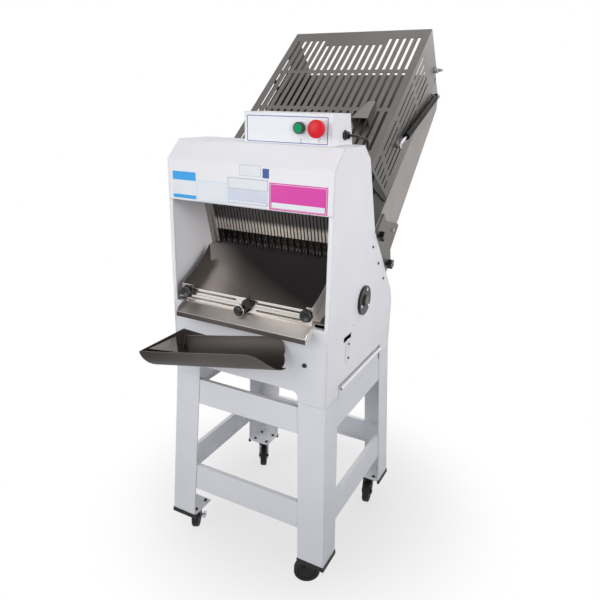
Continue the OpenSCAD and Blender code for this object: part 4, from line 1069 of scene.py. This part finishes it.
def addHoledPlate(bm, loops, x, depth):  # the first loop is the outline, the others are holes
    flat = [p for loop in loops for p in loop]
    near, far = ([bm.verts.new(onFeed(level, *p)) for p in flat] for level in (x, depth))
    for a, b, c in tessellate_polygon([[Vector((s, t, 0)) for s, t in loop] for loop in loops]):
        bm.faces.new((near[a], near[b], near[c]))
        bm.faces.new((far[c], far[b], far[a]))
    first = 0
    for loop in loops:
        end = first + len(loop)
        joinRings(bm, near[first:end], far[first:end])
        first = end


def coverSideLoops(values):
    loops = [values["outline"]]
    (topS, topT), (lowS, lowT) = values["outline"][1:3]
    for k in range(values["rows"]):
        t = values["firstRow"] + k * values["rowPitch"]
        last = topS + (lowS - topS) * (t - topT) / (lowT - topT) - values["endMargin"]
        for first, end in values["groups"]:
            end = min(end, last)
            slot = roundedOutline(end - first, *values["slot"])
            loops.append([(p.x + (first + end) / 2, p.y + t) for p in slot])
    return loops


# ramps the cover sides to a lighter tone towards the top: painted light
def coverSideFinish(values):
    upSlope = (onFeed(0, -1, 0) - onFeed(0, 0, 0)).normalized()
    top = onFeed(0, 0, 0).dot(upSlope)
    ramp = {"axis": upSlope, "start": top - values["paintedLightTop"]["start"],
            "full": top - values["paintedLightTop"]["full"], "colour": values["paintedLightTop"]["colour"]}
    return finishMaterial("coverSideSteel", **{**coverSteel, **values["tones"], "ramp": ramp})


def addCoverSides(values):
    loops = coverSideLoops(values)
    bm = bmesh.new()
    for side in (1, -1):
        addHoledPlate(bm, loops, side * coverFace, side * (coverFace - values["thickness"]))
    studS, studT, r = values["stud"]
    turns = [k * tau / values["studSides"] for k in range(values["studSides"])]
    circle = [(studS + r * cos(turn), studT + r * sin(turn)) for turn in turns]
    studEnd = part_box("cover_sides")[1].x * 1000
    addHoledPlate(bm, [circle], studEnd, coverFace - values["studRoot"])
    turnOut(bm)
    data = meshFrom("coverSideSheets", bm)
    sheets = addPiece("coverSideSheets", data, "cover", "cover_grey", coverSideFinish(values))
    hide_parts("cover_sides")


addCoverSides(coverSides)


# Taller rubber edging at the feet of the legs
legEdging = {"raise": 0.006, "splay": 0.045}  # added height in metres, lean of the legs


def addLegEdging(values):
    low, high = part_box("leg_trims")
    middleY, middleZ = (low.y + high.y) / 2, (low.z + high.z) / 2
    bm = bmesh.new()
    bm.from_mesh(nodes["leg_trims"].data)
    bmesh.ops.remove_doubles(bm, verts=bm.verts, dist=1e-6)
    lean = values["raise"] * values["splay"]
    for vert in bm.verts:
        if vert.co.z > middleZ:
            vert.co.z += values["raise"]
            vert.co.x -= copysign(lean, vert.co.x)
            vert.co.y -= copysign(lean, vert.co.y - middleY)
    edging = addPiece("legEdging", meshFrom("legEdging", bm), "machine", "black_rubber")
    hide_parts("leg_trims")


addLegEdging(legEdging)


# Folded gusset in the closed end of the scoop, with its two weld seams
scoopGusset = {
    "tip": (-261, -113.9, 725.5), "top": (-229.4, -30.8, 740.5), "foot": (-204.3, -53, 703.9),
    "heel": (-191.7, -25.8, 697.4), "corner": (-217.5, -22.5, 695),
    "seams": ((0.1, 0.34), (0.02, 0.22)), "seamWidth": 1.1,
    "faceLift": (0.0004, -0.0002), "seamLift": (0.0006, 0.0003),  # metres off the fold
}


def addSheet(name, points, normal, lifts, material=None):
    near, far = ([p + normal * lift for p in points] for lift in lifts)
    addPiece(name, prismMesh(name, near, far), "machine", "dark_stainless", material)


def addScoopGusset(values):
    spots = [at(*values[key]) for key in ("tip", "top", "foot", "heel", "corner")]
    tip, top, foot = spots[:3]
    bm = bmesh.new()
    hull = bmesh.ops.convex_hull(bm, input=[bm.verts.new(p) for p in spots])
    spare = hull["geom_interior"] + hull["geom_unused"]
    spare = [e for e in spare if isinstance(e, bmesh.types.BMVert)]
    bmesh.ops.delete(bm, geom=spare, context="VERTS")
    turnOut(bm)
    addPiece("scoopGusset", meshFrom("scoopGusset", bm), "machine", "dark_stainless")
    normal = (foot - tip).cross(top - tip).normalized()
    if normal.x < 0:
        normal = -normal
    # the facet takes the bright shelf steel: a painted highlight on the folded face
    litFacetFinish = ownFinishes["bagging_shelf"]
    addSheet("scoopGussetFace", (tip, top, foot), normal, values["faceLift"], litFacetFinish)
    half = values["seamWidth"] / 2000
    for k, (upper, lower) in enumerate(values["seams"], 1):
        start, end = top.lerp(tip, upper), foot.lerp(tip, lower)
        side = (end - start).normalized().cross(normal) * half
        flat = (start - side, start + side, end + side, end - side)
        addSheet("scoopSeam%d" % k, flat, normal, values["seamLift"])


addScoopGusset(scoopGusset)


# Dark band that closes the front lip of the bagging shelf
shelfBand = {
    "reach": 45, "x": 210, "z": (816, 829.5), "thickness": 0.4, "corner": 1, "bevel": 0.0001,
}


def addShelfBand(values):
    low, high = values["z"]
    place = facing(at(0, -values["reach"], (low + high) / 2), toFront, toTop)
    outline = outlineMm(2 * values["x"], high - low, values["corner"])
    data = flatPlate("shelfBand", outline, values["thickness"] / 1000, place, values["bevel"])
    addPiece("shelfBand", data, "machine", "dark_stainless")


addShelfBand(shelfBand)
print("trim set")
